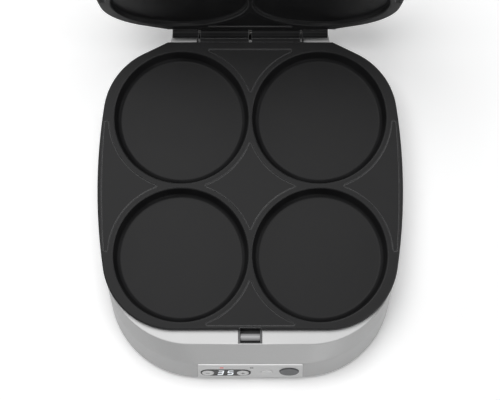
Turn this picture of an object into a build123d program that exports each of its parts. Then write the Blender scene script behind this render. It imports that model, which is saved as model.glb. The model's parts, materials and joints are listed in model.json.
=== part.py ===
# Electric pancake maker with four round moulds, modelled with its lid open.
# One frame for all pieces: X to the right, Y to the back, Z up, in millimetres.
# The origin lies on the table under the middle of the open maker.

import os
from math import atan2, cos, degrees, hypot, radians, sin, sqrt, tan

from build123d import *

# Small values that many pieces share
overrun = 1.0
running_clearance = 0.05
seat_clearance = 0.1
moving_clearance = 0.3
tiny = 0.01

# Cooking plates seen from above, measured from the middle of the four moulds
mould_rim_diameter = 116.5
mould_gap_x = 1.8
mould_gap_y = 2.9
plate_side_margin = 13.2
plate_front_margin = 5.55
plate_rear_margin = 8.05
plate_side_radius = 480.0
plate_corner_radius = 61.0
rear_end_margin = 4.1
shoulder_inset_x = 10.8
shoulder_inset_y = 24.0

# Levels of the base
foot_height = 6.0
skirt_level = 5.0
crease_level = 35.3
ledge_level = 48.7
plate_top = 55.0

# Housing outlines at those levels
housing_side_inset = 1.2
ledge_depth = 12.1
slope_depth = 15.1
band_run = 7.8
skirt_corner_radius = 77.0
crease_corner_radius = 81.0
ledge_corner_radius = 74.0
housing_wall = 2.5
deck_rim_height = 3.2
hinge_shelf_height = 9.0
hinge_shelf_behind = 3.5

# Plate castings
flange_thickness = 3.0
lip_width = 2.6
lip_depth = 5.8
mould_depth = 14.0
mould_draft = 15.0
mould_wall = 2.5
mould_floor_fillet = 4.0
mould_outer_fillet = 3.0
mould_rim_fillet = 1.2
pad_depth = 0.9
pad_ring_width = 4.2
pad_side_inset = 3.4
pad_side_bow = 2.1
pad_end_margin = 3.0
pad_front_inset = 3.2
pad_rear_inset = 6.4
pad_corner_radius = 1.2
plate_boss_radius = 5.0
plate_boss_beyond_x = 32.85
plate_boss_beyond_y = 32.3
upper_recess_depth = 4.0
parting_gap = 0.4

# Hinge along the rear edge
hinge_behind = 8.2
hinge_pin_radius = 2.0
hinge_barrel_radius = 4.5
inner_knuckle_start = 1.2
inner_knuckle_end = 43.2
outer_knuckle_start = 46.2
outer_knuckle_end = 66.9
stop_nose_start = 44.4
stop_nose_height = 3.0
open_angle = 95.0
hinge_pin_half_length = 66.0

# Lid
lid_height = 39.0
lid_wall = 2.5
lid_top_fillet = 13.0
lid_post_radius = 5.5
lid_screw_radius = 2.0
lid_screw_head_radius = 3.8
lid_screw_head_height = 1.2

# Heating
heater_tube_radius = 3.25
heater_corner_radius = 34.0
heater_gap_half = 16.0
heater_terminal_radius = 1.6
heater_terminal_length = 9.0
shield_thickness = 0.8
shield_inset_x = 28.6
shield_inset_y = 21.5
shield_corner_radius = 44.0
shield_rim_height = 5.0
lower_shield_level = 26.2
upper_shield_level = 74.0
sensor_radius = 6.0
sensor_height = 9.0
sensor_place = 12.0

# Base pan, its pillars, vents and screws
pan_thickness = 2.2
pan_pillar_radius = 5.5
housing_post_radius = 4.5
housing_post_top = 33.0
rear_post_inset_x = 29.0
rear_post_inset_y = 25.8
front_post_inset_x = 10.5
front_post_inset_y = 27.9
vent_length = 26.0
vent_width = 3.0
vent_pitch = 9.0
vent_count = 5
vent_place_x = 52.0
long_screw_radius = 2.0
long_screw_head_radius = 3.8
long_screw_head_height = 2.4
base_screw_radius = 1.6
base_screw_head_radius = 3.2
base_screw_head_height = 1.8
screw_bite = 12.0

# Feet
foot_radius = 9.0
foot_inset_x = 48.6
foot_rear_inset = 26.0
foot_front_inset = 11.5
foot_edge = 1.2

# Latch recess in the ledge, its bar and tray
recess_half_width = 9.85
recess_front_margin = 0.8
tray_side_wall = 1.3
tray_front_wall = 0.7
tray_rear_wall = 1.0
tray_floor_level = 38.0
tray_floor_thickness = 1.5
latch_bar_radius = 3.2
latch_bar_back = 5.6
latch_bar_level = 44.6
latch_notch_depth = 1.2
latch_notch_half_width = 9.0

# Latch lever and handle on the lid
lever_half_width = 7.5
hook_thickness = 1.2
toe_reach = 2.1
toe_thickness = 2.0
lever_pivot_level = 66.0
lever_pivot_ahead = 3.9
lever_body_ahead = 4.0
lever_body_behind = 2.0
lever_body_low = 57.6
lever_step_level = 60.6
lever_step_height = 0.8
lever_top_level = 85.0
lever_tab_reach = 3.4
lever_tab_height = 5.0
latch_pin_radius = 1.3
spring_wire_radius = 0.4
spring_turns = 4.5
spring_turn_gap = 0.15
spring_short_leg = 1.6
spring_leg_rise = 3.2
spring_leg_bend = 0.9
spring_room = 0.5
handle_plate_half_width = 62.0
handle_plate_low = 61.8
handle_plate_high = 83.0
handle_plate_thickness = 2.0
handle_plate_corner = 6.0
handle_reach = 28.0
handle_half_width = 50.0
handle_bow_radius = 17.0
handle_bar_height = 13.0
handle_bar_depth = 11.0
handle_bar_level = 73.0
ear_thickness = 3.0
ear_gap = 0.4
ear_low = 62.3
ear_high = 71.0
ear_radius = 3.4
handle_screw_radius = 1.75
handle_screw_head_radius = 3.4
handle_screw_head_height = 2.0
handle_screw_length = 9.0

# Control panel on the lower band
panel_half_width = 44.9
panel_height = 29.4
panel_top_gap = 0.6
panel_thickness = 2.0
panel_proud = 0.8
panel_corner_radius = 1.0
panel_window_margin = 1.5
window_length = 43.0
window_height = 13.8
window_u = -21.0
window_v = -2.9
window_proud = 0.3
window_flange = 0.6
window_flange_thickness = 0.8
display_opening_width = 16.6
display_opening_height = 10.9
display_u = -21.2
display_sunk = 0.2
digit_height = 8.8
digit_width = 4.2
digit_pitch = 8.6
digit_slant = 8.0
segment_width = 1.05
segment_thickness = 0.3
segment_gap = 0.15
small_button_radius = 5.1
start_button_radius = 8.2
minus_u = -36.2
plus_u = -6.3
function_u = 14.2
start_u = 33.3
start_v = -0.2
button_proud = 0.9
button_travel = 0.8
button_gap = 0.25
button_flange = 0.9
button_flange_thickness = 1.0
button_stem_radius = 2.0
button_edge = 0.5
lamp_width = 3.0
lamp_height = 1.5
lamp_v = 8.0
power_lamp_u = -24.4
ready_lamp_u = 1.2
lamp_proud = 0.1

# Control board behind the panel and power board in the base
board_depth = 9.4
board_thickness = 1.6
board_half_width = 43.5
board_top_v = 12.0
board_low_v = -9.2
board_post_radius = 2.4
board_post_left_u = -39.2
board_post_right_u = 23.0
board_post_low_u = 4.4
board_post_top_v = 8.4
board_post_low_v = -6.6
board_screw_radius = 1.1
board_screw_head_radius = 2.2
board_screw_head_height = 1.3
board_screw_bite = 6.0
switch_size = 6.0
power_board_length = 62.0
power_board_depth = 42.0
power_board_x = 47.0
power_board_inset = 19.5
power_board_standoff = 2.4
relay_length = 19.0
relay_depth = 15.5
relay_height = 11.5
capacitor_radius = 4.0
capacitor_height = 10.0
component_spacing = 21.0

# Cord gland in the rear wall
gland_x = -48.0
gland_level = 18.0
gland_radius = 7.5
gland_neck_radius = 5.8
gland_flange_thickness = 3.0
gland_length = 16.0
gland_bore_radius = 3.6

# The middle of the moulds lies ahead of the origin, so that the open maker is centred on it
middle_y = -20.7

# Planes of the base: the moulds' middle is the local origin of each
mould_pitch_x = mould_rim_diameter + mould_gap_x
mould_pitch_y = mould_rim_diameter + mould_gap_y
mould_places = [(i * mould_pitch_x / 2, j * mould_pitch_y / 2) for i in (-1, 1) for j in (-1, 1)]
rim_radius = mould_rim_diameter / 2
plate_half_width = mould_pitch_x / 2 + rim_radius + plate_side_margin
plate_front = mould_pitch_y / 2 + rim_radius + plate_front_margin
plate_rear = mould_pitch_y / 2 + rim_radius + plate_rear_margin
plate_rear_half = outer_knuckle_end + rear_end_margin
shoulder_half_width = plate_half_width - shoulder_inset_x
shoulder_back = plate_rear - shoulder_inset_y
hinge_back = plate_rear + hinge_behind
ledge_front = plate_front + ledge_depth
crease_front = ledge_front + slope_depth
skirt_front = crease_front + band_run
hinge_level = plate_top + parting_gap / 2


def base_level(height):
    """Horizontal plane of the base, with the moulds' middle as its origin."""
    return Plane(origin=(0, middle_y, height), x_dir=(1, 0, 0), z_dir=(0, 0, 1))


def base_side(across):
    """Upright plane of the base that looks along X: its own axes are Y and Z."""
    return Plane(origin=(across, middle_y, 0), x_dir=(0, 1, 0), z_dir=(1, 0, 0))


# The lid is drawn as if closed, on planes that its open angle has turned about the hinge
swing = radians(open_angle)
lid_up = (0, sin(swing), cos(swing))
lid_back = (0, cos(swing), -sin(swing))
lid_origin = (
    0,
    middle_y + hinge_back - hinge_back * lid_back[1] - hinge_level * lid_up[1],
    hinge_level - hinge_back * lid_back[2] - hinge_level * lid_up[2],
)


def lid_level(height):
    """Plane that lies level at this height when the lid is shut."""
    return Plane(origin=lid_origin, x_dir=(1, 0, 0), z_dir=lid_up).offset(height)


def lid_side(across):
    """Plane across X in the lid: its own axes are Y and Z of the shut lid."""
    origin = (across, lid_origin[1], lid_origin[2])
    return Plane(origin=origin, x_dir=lid_back, z_dir=(1, 0, 0))


def lid_front(out):
    """Upright plane on the lid's front wall, this far out: its own axes are X and Z of the shut lid."""
    ahead = plate_front - housing_side_inset + out
    origin = lid_level(0).from_local_coords((0, -ahead, 0))
    return Plane(origin=origin, x_dir=(1, 0, 0), z_dir=(0, -lid_back[1], -lid_back[2]))


def side_x(ahead, inset):
    """Half width of the outline this far ahead of or behind the middle."""
    radius = plate_side_radius - inset
    return plate_half_width - inset - radius + sqrt(radius**2 - ahead**2)


def shoulder_points(inset):
    """Corner points of the slanting shoulder, moved inward by the inset."""
    run_x = shoulder_half_width - plate_rear_half
    run_y = shoulder_back - plate_rear
    run = hypot(run_x, run_y)
    along_x = run_x / run
    along_y = run_y / run
    step = inset * (1 - along_x) / -along_y
    rear_x = plate_rear_half + inset * along_y + step * along_x
    rear_y = plate_rear - inset
    radius = plate_side_radius - inset
    from_x = rear_x - (plate_half_width - plate_side_radius)
    half_b = from_x * along_x + rear_y * along_y
    rest = from_x**2 + rear_y**2 - radius**2
    reach = -half_b + sqrt(half_b**2 - rest)
    return (rear_x, rear_y), (rear_x + reach * along_x, rear_y + reach * along_y)


def outline(front, inset, corner):
    """Rounded outline of plates, housing and lid: bowed sides and slanting rear shoulders."""
    rear_point, shoulder = shoulder_points(inset)
    front_point = (side_x(front, inset), -front)
    right_side = (plate_half_width - inset, 0)
    with BuildSketch(Plane.XY) as shape:
        with BuildLine():
            Line(front_point, (-front_point[0], -front))
            ThreePointArc(front_point, right_side, shoulder)
            Line(shoulder, rear_point)
            Line(rear_point, (-rear_point[0], rear_point[1]))
            Line((-rear_point[0], rear_point[1]), (-shoulder[0], shoulder[1]))
            ThreePointArc((-shoulder[0], shoulder[1]), (-right_side[0], 0), (-front_point[0], -front))
        make_face()
        fillet(vertices().group_by(Axis.Y)[0], radius=corner)
        fillet(vertices().group_by(Axis.Y)[-2], radius=plate_corner_radius - inset)
    return shape.sketch


def plate_shape(inset):
    """Outline of a cooking plate, moved inward by the inset."""
    return outline(plate_front - inset, inset, plate_corner_radius - inset)


def housing_shape(front, corner, inset):
    """Outline of the housing at one level, moved inward by the inset."""
    return outline(front - inset, housing_side_inset + inset, corner - inset)


def mould_section(place, level_plane):
    """Plane through a mould's axis: its own axes are the radius and the height."""
    centre = level_plane.from_local_coords((place[0], place[1], 0))
    return Plane(origin=centre, x_dir=level_plane.x_dir, z_dir=-level_plane.y_dir)


def mould_shells(level_plane, top, bottom_side, depth, flange):
    """Adds the four bowls under (or over) a flange, then hollows them out."""
    floor_radius = rim_radius - depth * tan(radians(mould_draft))
    floor = top - bottom_side * depth
    under = floor - bottom_side * mould_wall
    seat = top - bottom_side * flange / 2
    outer_top_radius = rim_radius + mould_wall
    for place in mould_places:
        section = mould_section(place, level_plane)
        with BuildSketch(section) as profile:
            with BuildLine():
                start = (0, under)
                turn = (floor_radius + mould_wall / 2, under)
                top_point = (outer_top_radius - flange / 2 * tan(radians(mould_draft)), seat)
                FilletPolyline(start, turn, top_point, radius=mould_outer_fillet)
                Polyline(top_point, (0, seat), start)
            make_face()
        revolve(profile.sketch, axis=Axis(section.origin, section.y_dir))
    over = top + bottom_side * overrun
    wall_top_radius = rim_radius - mould_rim_fillet / 2
    over_radius = wall_top_radius + overrun * (wall_top_radius - floor_radius) / depth
    for place in mould_places:
        section = mould_section(place, level_plane)
        with BuildSketch(section) as profile:
            with BuildLine():
                start = (0, floor)
                turn = (floor_radius, floor)
                brim = (over_radius, over)
                FilletPolyline(start, turn, brim, radius=min(mould_floor_fillet, depth / 2))
                Polyline(brim, (0, over), start)
            make_face()
        revolve(profile.sketch, axis=Axis(section.origin, section.y_dir), mode=Mode.SUBTRACT)
    rims = edges().filter_by(GeomType.CIRCLE).filter_by(lambda e: abs(e.radius - wall_top_radius) < tiny)
    fillet(rims, radius=mould_rim_fillet)


def pads(plane, depth_direction):
    """Sinks the shallow pads between the raised rings of the moulds: middle, front, rear and both sides."""
    half_width = plate_half_width - pad_side_inset
    front = plate_front - pad_front_inset
    rear = plate_rear - pad_rear_inset
    end = (half_width - pad_side_bow, mould_pitch_y / 2 - pad_end_margin)
    with BuildSketch(plane) as shape:
        with BuildLine():
            ThreePointArc((end[0], -end[1]), (half_width, 0), end)
            Line(end, (-end[0], end[1]))
            ThreePointArc((-end[0], end[1]), (-half_width, 0), (-end[0], -end[1]))
            Line((-end[0], -end[1]), (end[0], -end[1]))
        make_face()
        with Locations((0, (rear - front) / 2)):
            Rectangle(mould_pitch_x, front + rear)
        with Locations(*mould_places):
            Circle(rim_radius + pad_ring_width, mode=Mode.SUBTRACT)
        fillet(vertices(), radius=pad_corner_radius)
    extrude(shape.sketch, amount=depth_direction * pad_depth, mode=Mode.SUBTRACT)


def latch_notch(plane, height):
    """Clearance for the hook in the front edge of a plate."""
    with BuildSketch(plane) as shape:
        with Locations((0, latch_notch_depth - plate_front)):
            Rectangle(
                latch_notch_half_width * 2, latch_notch_depth * 2, align=(Align.CENTER, Align.MAX)
            )
    extrude(shape.sketch, amount=height, mode=Mode.SUBTRACT)


def knuckle(side_plane, length, low, high):
    """Hinge barrel with the web that ties it to the plate's rear edge."""
    with BuildSketch(side_plane) as shape:
        with Locations((hinge_back, hinge_level)):
            Circle(hinge_barrel_radius)
        with BuildLine():
            Polyline(
                (plate_rear - lip_width, low),
                (hinge_back, low),
                (hinge_back, high),
                (plate_rear - lip_width, high),
                close=True,
            )
        make_face()
    extrude(shape.sketch, amount=length)


def pin_bore(side_plane, length):
    """Bore for the hinge pin through a knuckle."""
    with BuildSketch(side_plane) as shape:
        with Locations((hinge_back, hinge_level)):
            Circle(hinge_pin_radius + running_clearance)
    extrude(shape.sketch, amount=length, mode=Mode.SUBTRACT)


plate_low = plate_top - flange_thickness
lip_low = plate_top - lip_depth
boss_x = mould_pitch_x / 2 + plate_boss_beyond_x
boss_y = mould_pitch_y / 2 + plate_boss_beyond_y
boss_places = [(0, 0), (boss_x, 0), (-boss_x, 0), (0, boss_y), (0, -boss_y)]
lower_shield_top = lower_shield_level + shield_thickness
knuckle_low = hinge_level - hinge_barrel_radius
inner_length = inner_knuckle_end - inner_knuckle_start
outer_length = outer_knuckle_end - outer_knuckle_start
nose_length = outer_knuckle_start - stop_nose_start

# Lower plate: flange, lip, four deep moulds, pads, screw bosses and the two inner knuckles
with BuildPart() as lower_plate:
    with BuildSketch(base_level(lip_low)):
        add(plate_shape(0))
    extrude(amount=lip_depth)
    with BuildSketch(base_level(lip_low)):
        add(plate_shape(lip_width))
    extrude(amount=lip_depth - flange_thickness, mode=Mode.SUBTRACT)
    fillet(faces().sort_by(Axis.Z)[-1].outer_wire().edges(), radius=mould_rim_fillet)
    with BuildSketch(base_level(lower_shield_top)):
        with Locations(*boss_places):
            Circle(plate_boss_radius)
    extrude(amount=plate_low - lower_shield_top)
    for start in (inner_knuckle_start, -inner_knuckle_end):
        knuckle(base_side(start), inner_length, knuckle_low, plate_top - pad_depth)
    mould_shells(base_level(0), plate_top, 1, mould_depth, flange_thickness)
    pads(base_level(plate_top), -1)
    latch_notch(base_level(lip_low - overrun), lip_depth + overrun * 2)
    for start in (inner_knuckle_start, -inner_knuckle_end):
        pin_bore(base_side(start), inner_length)
    with BuildSketch(base_level(lower_shield_top)):
        with Locations(*boss_places):
            Circle(long_screw_radius + running_clearance)
    extrude(amount=screw_bite + seat_clearance, mode=Mode.SUBTRACT)

# Upper plate, drawn shut: the same outline with four shallow recesses and the two outer knuckles
upper_face = plate_top + parting_gap
upper_flange_top = upper_face + flange_thickness
upper_lip_top = upper_face + lip_depth
nose_reach = hinge_back - plate_rear - moving_clearance
nose_middle = plate_top - lip_depth / 2
upper_bosses = [place for place in boss_places if place[1] <= 0]
nose_turn = degrees(atan2(hinge_level - nose_middle, nose_reach))

with BuildPart() as upper_plate:
    with BuildSketch(lid_level(upper_face)):
        add(plate_shape(0))
    extrude(amount=lip_depth)
    with BuildSketch(lid_level(upper_flange_top)):
        add(plate_shape(lip_width))
    extrude(amount=lip_depth - flange_thickness, mode=Mode.SUBTRACT)
    with BuildSketch(lid_level(upper_flange_top)):
        with Locations(*upper_bosses):
            Circle(plate_boss_radius)
    extrude(amount=upper_shield_level - upper_flange_top)
    for start in (outer_knuckle_start, -outer_knuckle_end):
        knuckle(lid_side(start), outer_length, upper_face + pad_depth, hinge_level + hinge_barrel_radius)
    for start in (stop_nose_start, -outer_knuckle_start):
        nose_plane = base_side(start)
        with BuildSketch(nose_plane):
            with Locations((hinge_back, hinge_level)):
                Circle(hinge_barrel_radius)
            with Locations(Location((hinge_back, hinge_level), nose_turn)):
                Rectangle(
                    hypot(nose_reach, hinge_level - nose_middle),
                    stop_nose_height,
                    align=(Align.MAX, Align.CENTER),
                )
            with Locations((plate_rear + moving_clearance, hinge_level)):
                Rectangle(lip_depth * 2, lip_depth * 4, align=(Align.MAX, Align.CENTER), mode=Mode.SUBTRACT)
        extrude(amount=nose_length)
    mould_shells(lid_level(0), upper_face, -1, upper_recess_depth, flange_thickness)
    pads(lid_level(upper_face), 1)
    latch_notch(lid_level(upper_face - overrun), lip_depth + overrun * 2)
    pin_bore(lid_side(stop_nose_start), outer_knuckle_end - stop_nose_start)
    pin_bore(lid_side(-outer_knuckle_end), outer_knuckle_end - stop_nose_start)
    with BuildSketch(lid_level(upper_face)):
        with Locations(*upper_bosses):
            Circle(lid_screw_radius + seat_clearance)
    extrude(amount=upper_shield_level - upper_face, mode=Mode.SUBTRACT)
    with BuildSketch(lid_level(upper_face)):
        with Locations(*upper_bosses):
            Circle(lid_screw_head_radius + seat_clearance)
    extrude(amount=pad_depth + lid_screw_head_height, mode=Mode.SUBTRACT)

# Hinge pin through all four knuckles
with BuildPart() as hinge_pin:
    with BuildSketch(base_side(-hinge_pin_half_length)):
        with Locations((hinge_back, hinge_level)):
            Circle(hinge_pin_radius)
    extrude(amount=hinge_pin_half_length * 2)

# Base housing: a ruled shell through skirt, crease and ledge, with a deck and an upstand for the plate
rear_post_x = plate_half_width - rear_post_inset_x
rear_post_y = plate_rear - rear_post_inset_y
front_post_x = side_x(crease_front, 0) - front_post_inset_x
front_post_y = front_post_inset_y - crease_front
post_places = [
    (rear_post_x, rear_post_y),
    (-rear_post_x, rear_post_y),
    (front_post_x, front_post_y),
    (-front_post_x, front_post_y),
]
pan_top = foot_height + pan_thickness
band_drop = crease_level - skirt_level
band_tilt = atan2(band_run, band_drop)
panel_normal = (0, -cos(band_tilt), sin(band_tilt))
panel_middle = panel_top_gap + panel_height / 2
panel_origin = (
    0,
    middle_y - crease_front - panel_middle * sin(band_tilt),
    crease_level - panel_middle * cos(band_tilt),
)


def panel_level(out):
    """Plane of the control panel, this far out of the housing's lower band."""
    return Plane(origin=panel_origin, x_dir=(1, 0, 0), z_dir=panel_normal).offset(out)


deck_low = ledge_level - housing_wall
upstand_inset = lip_width + moving_clearance
upstand_thickness = housing_wall
deck_edge_inset = upstand_inset + upstand_thickness
recess_front = ledge_front - recess_front_margin
recess_rear = plate_front - upstand_inset + seat_clearance * 2
recess_depth = recess_front - recess_rear
inner_crease = crease_level - housing_wall / 2
tray_low = tray_floor_level - tray_floor_thickness
bowl_room = rim_radius + mould_wall + moving_clearance
nose_sweep = hypot(nose_reach, hinge_level - nose_middle + stop_nose_height / 2)
shelf_top = hinge_level - nose_sweep - moving_clearance
rear_face = plate_rear - housing_side_inset


def shelf_shape(root, inset):
    """Outline of the shelf under the hinge, from its root to its back edge."""
    root_half = plate_rear_half - housing_side_inset - inset
    back_half = outer_knuckle_end - inset
    back = hinge_back + hinge_shelf_behind - inset
    Polygon((-root_half, root), (root_half, root), (back_half, back), (-back_half, back), align=None)


with BuildPart() as base_housing:
    with BuildSketch(base_level(skirt_level)):
        add(housing_shape(skirt_front, skirt_corner_radius, 0))
    with BuildSketch(base_level(crease_level)):
        add(housing_shape(crease_front, crease_corner_radius, 0))
    with BuildSketch(base_level(ledge_level)):
        add(housing_shape(ledge_front, ledge_corner_radius, 0))
    loft(ruled=True)
    with BuildSketch(base_level(skirt_level)):
        add(housing_shape(skirt_front, skirt_corner_radius, housing_wall))
    with BuildSketch(base_level(inner_crease)):
        add(housing_shape(crease_front, crease_corner_radius, housing_wall))
    with BuildSketch(base_level(deck_low)):
        add(housing_shape(ledge_front, ledge_corner_radius, housing_wall))
    loft(ruled=True, mode=Mode.SUBTRACT)
    with BuildSketch(base_level(ledge_level - tiny)):
        add(plate_shape(upstand_inset))
    extrude(amount=deck_rim_height + tiny)
    with BuildSketch(base_level(deck_low - overrun)):
        add(plate_shape(deck_edge_inset))
        with Locations(*mould_places):
            Circle(bowl_room)
    extrude(amount=housing_wall + deck_rim_height + overrun * 2, mode=Mode.SUBTRACT)
    with BuildSketch(base_level(tray_low)):
        with Locations((0, -recess_front)):
            Rectangle(recess_half_width * 2, recess_depth, align=(Align.CENTER, Align.MIN))
    extrude(amount=ledge_level + overrun - tray_low, mode=Mode.SUBTRACT)
    with BuildSketch(panel_level(panel_proud)):
        RectangleRounded(
            (panel_half_width + seat_clearance) * 2, panel_height + seat_clearance * 2, panel_corner_radius
        )
    extrude(amount=-panel_thickness, mode=Mode.SUBTRACT)
    with BuildSketch(panel_level(overrun)):
        Rectangle(
            (panel_half_width - panel_window_margin) * 2, panel_height - panel_window_margin * 2
        )
    extrude(amount=-housing_wall * 3, mode=Mode.SUBTRACT)
    with BuildSketch(base_level(pan_top)):
        with Locations(*post_places):
            Circle(housing_post_radius)
    extrude(amount=housing_post_top - pan_top)
    with BuildSketch(base_level(pan_top)):
        with Locations(*post_places):
            Circle(base_screw_radius + running_clearance)
    extrude(amount=screw_bite + seat_clearance, mode=Mode.SUBTRACT)
    with Locations(
        Plane(
            origin=(gland_x, middle_y + plate_rear, gland_level), x_dir=(1, 0, 0), z_dir=(0, 1, 0)
        ).location
    ):
        Cylinder(gland_neck_radius + seat_clearance, gland_length * 2, mode=Mode.SUBTRACT)
    with BuildSketch(base_level(shelf_top - hinge_shelf_height)):
        shelf_shape(rear_face - housing_wall / 2, 0)
    extrude(amount=hinge_shelf_height)
    with BuildSketch(base_level(shelf_top - hinge_shelf_height - overrun)):
        shelf_shape(rear_face, housing_wall)
    extrude(amount=hinge_shelf_height + overrun - housing_wall, mode=Mode.SUBTRACT)

# Base pan: closes the skirt from below, with vents, pillars under the shield and a low rim
pan_inset = housing_wall + moving_clearance
pan_front = skirt_front - (pan_top - skirt_level) * band_run / (inner_crease - skirt_level)
with BuildPart() as base_pan:
    with BuildSketch(base_level(foot_height)):
        add(housing_shape(pan_front, skirt_corner_radius, pan_inset))
    extrude(amount=pan_thickness)
    with BuildSketch(base_level(pan_top)):
        with Locations(*boss_places):
            Circle(pan_pillar_radius)
    extrude(amount=lower_shield_level - pan_top)
    with BuildSketch(base_level(foot_height)):
        with Locations(*boss_places):
            Circle(long_screw_radius + seat_clearance)
        with Locations(*post_places):
            Circle(base_screw_radius + seat_clearance)
    extrude(amount=lower_shield_level, mode=Mode.SUBTRACT)
    with BuildSketch(base_level(foot_height)):
        with Locations(*boss_places):
            Circle(long_screw_head_radius + seat_clearance)
    extrude(amount=long_screw_head_height + pan_thickness, mode=Mode.SUBTRACT)
    with BuildSketch(base_level(foot_height)):
        for side in (-1, 1):
            with Locations((side * vent_place_x, 0)):
                with GridLocations(0, vent_pitch, 1, vent_count):
                    SlotOverall(vent_length, vent_width)
    extrude(amount=pan_thickness, mode=Mode.SUBTRACT)

# Rubber feet under the pan
foot_x = plate_half_width - foot_inset_x
foot_front = foot_front_inset - plate_front
foot_rear = plate_rear - foot_rear_inset
foot_places = {
    "foot_front_left": (-foot_x, foot_front),
    "foot_front_right": (foot_x, foot_front),
    "foot_rear_left": (-foot_x, foot_rear),
    "foot_rear_right": (foot_x, foot_rear),
}
feet = {}
for name, place in foot_places.items():
    with BuildPart() as foot:
        with BuildSketch(base_level(0)):
            with Locations(place):
                Circle(foot_radius)
        extrude(amount=foot_height)
        chamfer(foot.faces().sort_by(Axis.Z)[0].edges(), foot_edge)
    feet[name] = foot

# Long screws: pan, shield and lower plate in one stack
with BuildPart() as plate_screws:
    with BuildSketch(base_level(foot_height + pan_thickness)):
        with Locations(*boss_places):
            Circle(long_screw_head_radius)
    extrude(amount=long_screw_head_height)
    with BuildSketch(base_level(foot_height + pan_thickness)):
        with Locations(*boss_places):
            Circle(long_screw_radius)
    extrude(amount=lower_shield_top + screw_bite - foot_height - pan_thickness)

# Short screws: pan to the four posts of the housing
with BuildPart() as base_screws:
    with BuildSketch(base_level(foot_height - base_screw_head_height)):
        with Locations(*post_places):
            Circle(base_screw_head_radius)
    extrude(amount=base_screw_head_height)
    with BuildSketch(base_level(foot_height)):
        with Locations(*post_places):
            Circle(base_screw_radius)
    extrude(amount=pan_thickness + screw_bite)


shield_half_width = plate_half_width - shield_inset_x
shield_half_depth = plate_front - shield_inset_y


def tray_shield(plane, direction):
    """Sheet metal heat shield with a turned rim, open towards the heating element."""
    with BuildSketch(plane) as shape:
        RectangleRounded(shield_half_width * 2, shield_half_depth * 2, shield_corner_radius)
    extrude(shape.sketch, amount=direction * (shield_thickness + shield_rim_height))
    inner = shield_thickness
    with BuildSketch(plane.offset(direction * shield_thickness)) as hollow:
        RectangleRounded(
            (shield_half_width - inner) * 2, (shield_half_depth - inner) * 2, shield_corner_radius - inner
        )
    extrude(hollow.sketch, amount=direction * (shield_rim_height + overrun), mode=Mode.SUBTRACT)


# Heat shields: the lower one lies between pillars and bosses, the upper one on the upper bosses
with BuildPart() as lower_heat_shield:
    tray_shield(base_level(lower_shield_level), 1)
    with BuildSketch(base_level(lower_shield_level)):
        with Locations(*boss_places):
            Circle(long_screw_radius + seat_clearance)
    extrude(amount=shield_thickness, mode=Mode.SUBTRACT)

with BuildPart() as upper_heat_shield:
    tray_shield(lid_level(upper_shield_level + shield_thickness), -1)
    with BuildSketch(lid_level(upper_shield_level)):
        with Locations(*upper_bosses):
            Circle(lid_screw_radius + seat_clearance)
    extrude(amount=shield_thickness, mode=Mode.SUBTRACT)


def heater_loop(plane):
    """Tubular heating element: one open loop under the moulds, with a pin at each end."""
    half_x = mould_pitch_x / 2
    half_y = mould_pitch_y / 2
    with BuildLine(plane) as route:
        FilletPolyline(
            (-heater_gap_half, half_y),
            (-half_x, half_y),
            (-half_x, -half_y),
            (half_x, -half_y),
            (half_x, half_y),
            (heater_gap_half, half_y),
            radius=heater_corner_radius,
        )
    with BuildSketch(Plane(origin=route.line @ 0, z_dir=route.line % 0)) as section:
        Circle(heater_tube_radius)
    sweep(section.sketch, path=route.line)
    for end in (0, 1):
        outward = -1 if end == 0 else 1
        direction = (route.line % end) * outward
        with BuildSketch(Plane(origin=route.line @ end, z_dir=direction)) as pin:
            Circle(heater_terminal_radius)
        extrude(pin.sketch, amount=heater_terminal_length)


# Heating elements, each close to the bowls that it heats
lower_heater_level = plate_top - mould_depth - mould_wall - heater_tube_radius - running_clearance
upper_heater_level = upper_face + upper_recess_depth + mould_wall + heater_tube_radius + running_clearance
with BuildPart() as lower_heating_element:
    heater_loop(base_level(lower_heater_level))
with BuildPart() as upper_heating_element:
    heater_loop(lid_level(upper_heater_level))

# Temperature sensor under the flange, beside the middle boss
with BuildPart() as temperature_sensor:
    with BuildSketch(base_level(plate_low - sensor_height)):
        with Locations((sensor_place, 0)):
            Circle(sensor_radius)
    extrude(amount=sensor_height)
    chamfer(temperature_sensor.edges().group_by(Axis.Z)[0], foot_edge)

# Latch tray in the ledge, with the bar that the hook catches
tray_half_width = recess_half_width - seat_clearance
tray_front = recess_front - seat_clearance
tray_rear = recess_rear + seat_clearance
tray_depth = tray_front - tray_rear
bar_middle = plate_front + latch_bar_back
with BuildPart() as latch_keeper:
    with BuildSketch(base_level(tray_low)):
        with Locations((0, -tray_front)):
            Rectangle(tray_half_width * 2, tray_depth, align=(Align.CENTER, Align.MIN))
    extrude(amount=ledge_level - tray_low - seat_clearance)
    with BuildSketch(base_level(tray_floor_level)):
        with Locations((0, tray_front_wall - tray_front)):
            Rectangle(
                (tray_half_width - tray_side_wall) * 2,
                tray_depth - tray_front_wall - tray_rear_wall,
                align=(Align.CENTER, Align.MIN),
            )
    extrude(amount=ledge_level, mode=Mode.SUBTRACT)
    with BuildSketch(base_side(-tray_half_width + tray_side_wall / 2)):
        with Locations((-bar_middle, latch_bar_level)):
            Circle(latch_bar_radius)
    extrude(amount=tray_half_width * 2 - tray_side_wall)

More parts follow.
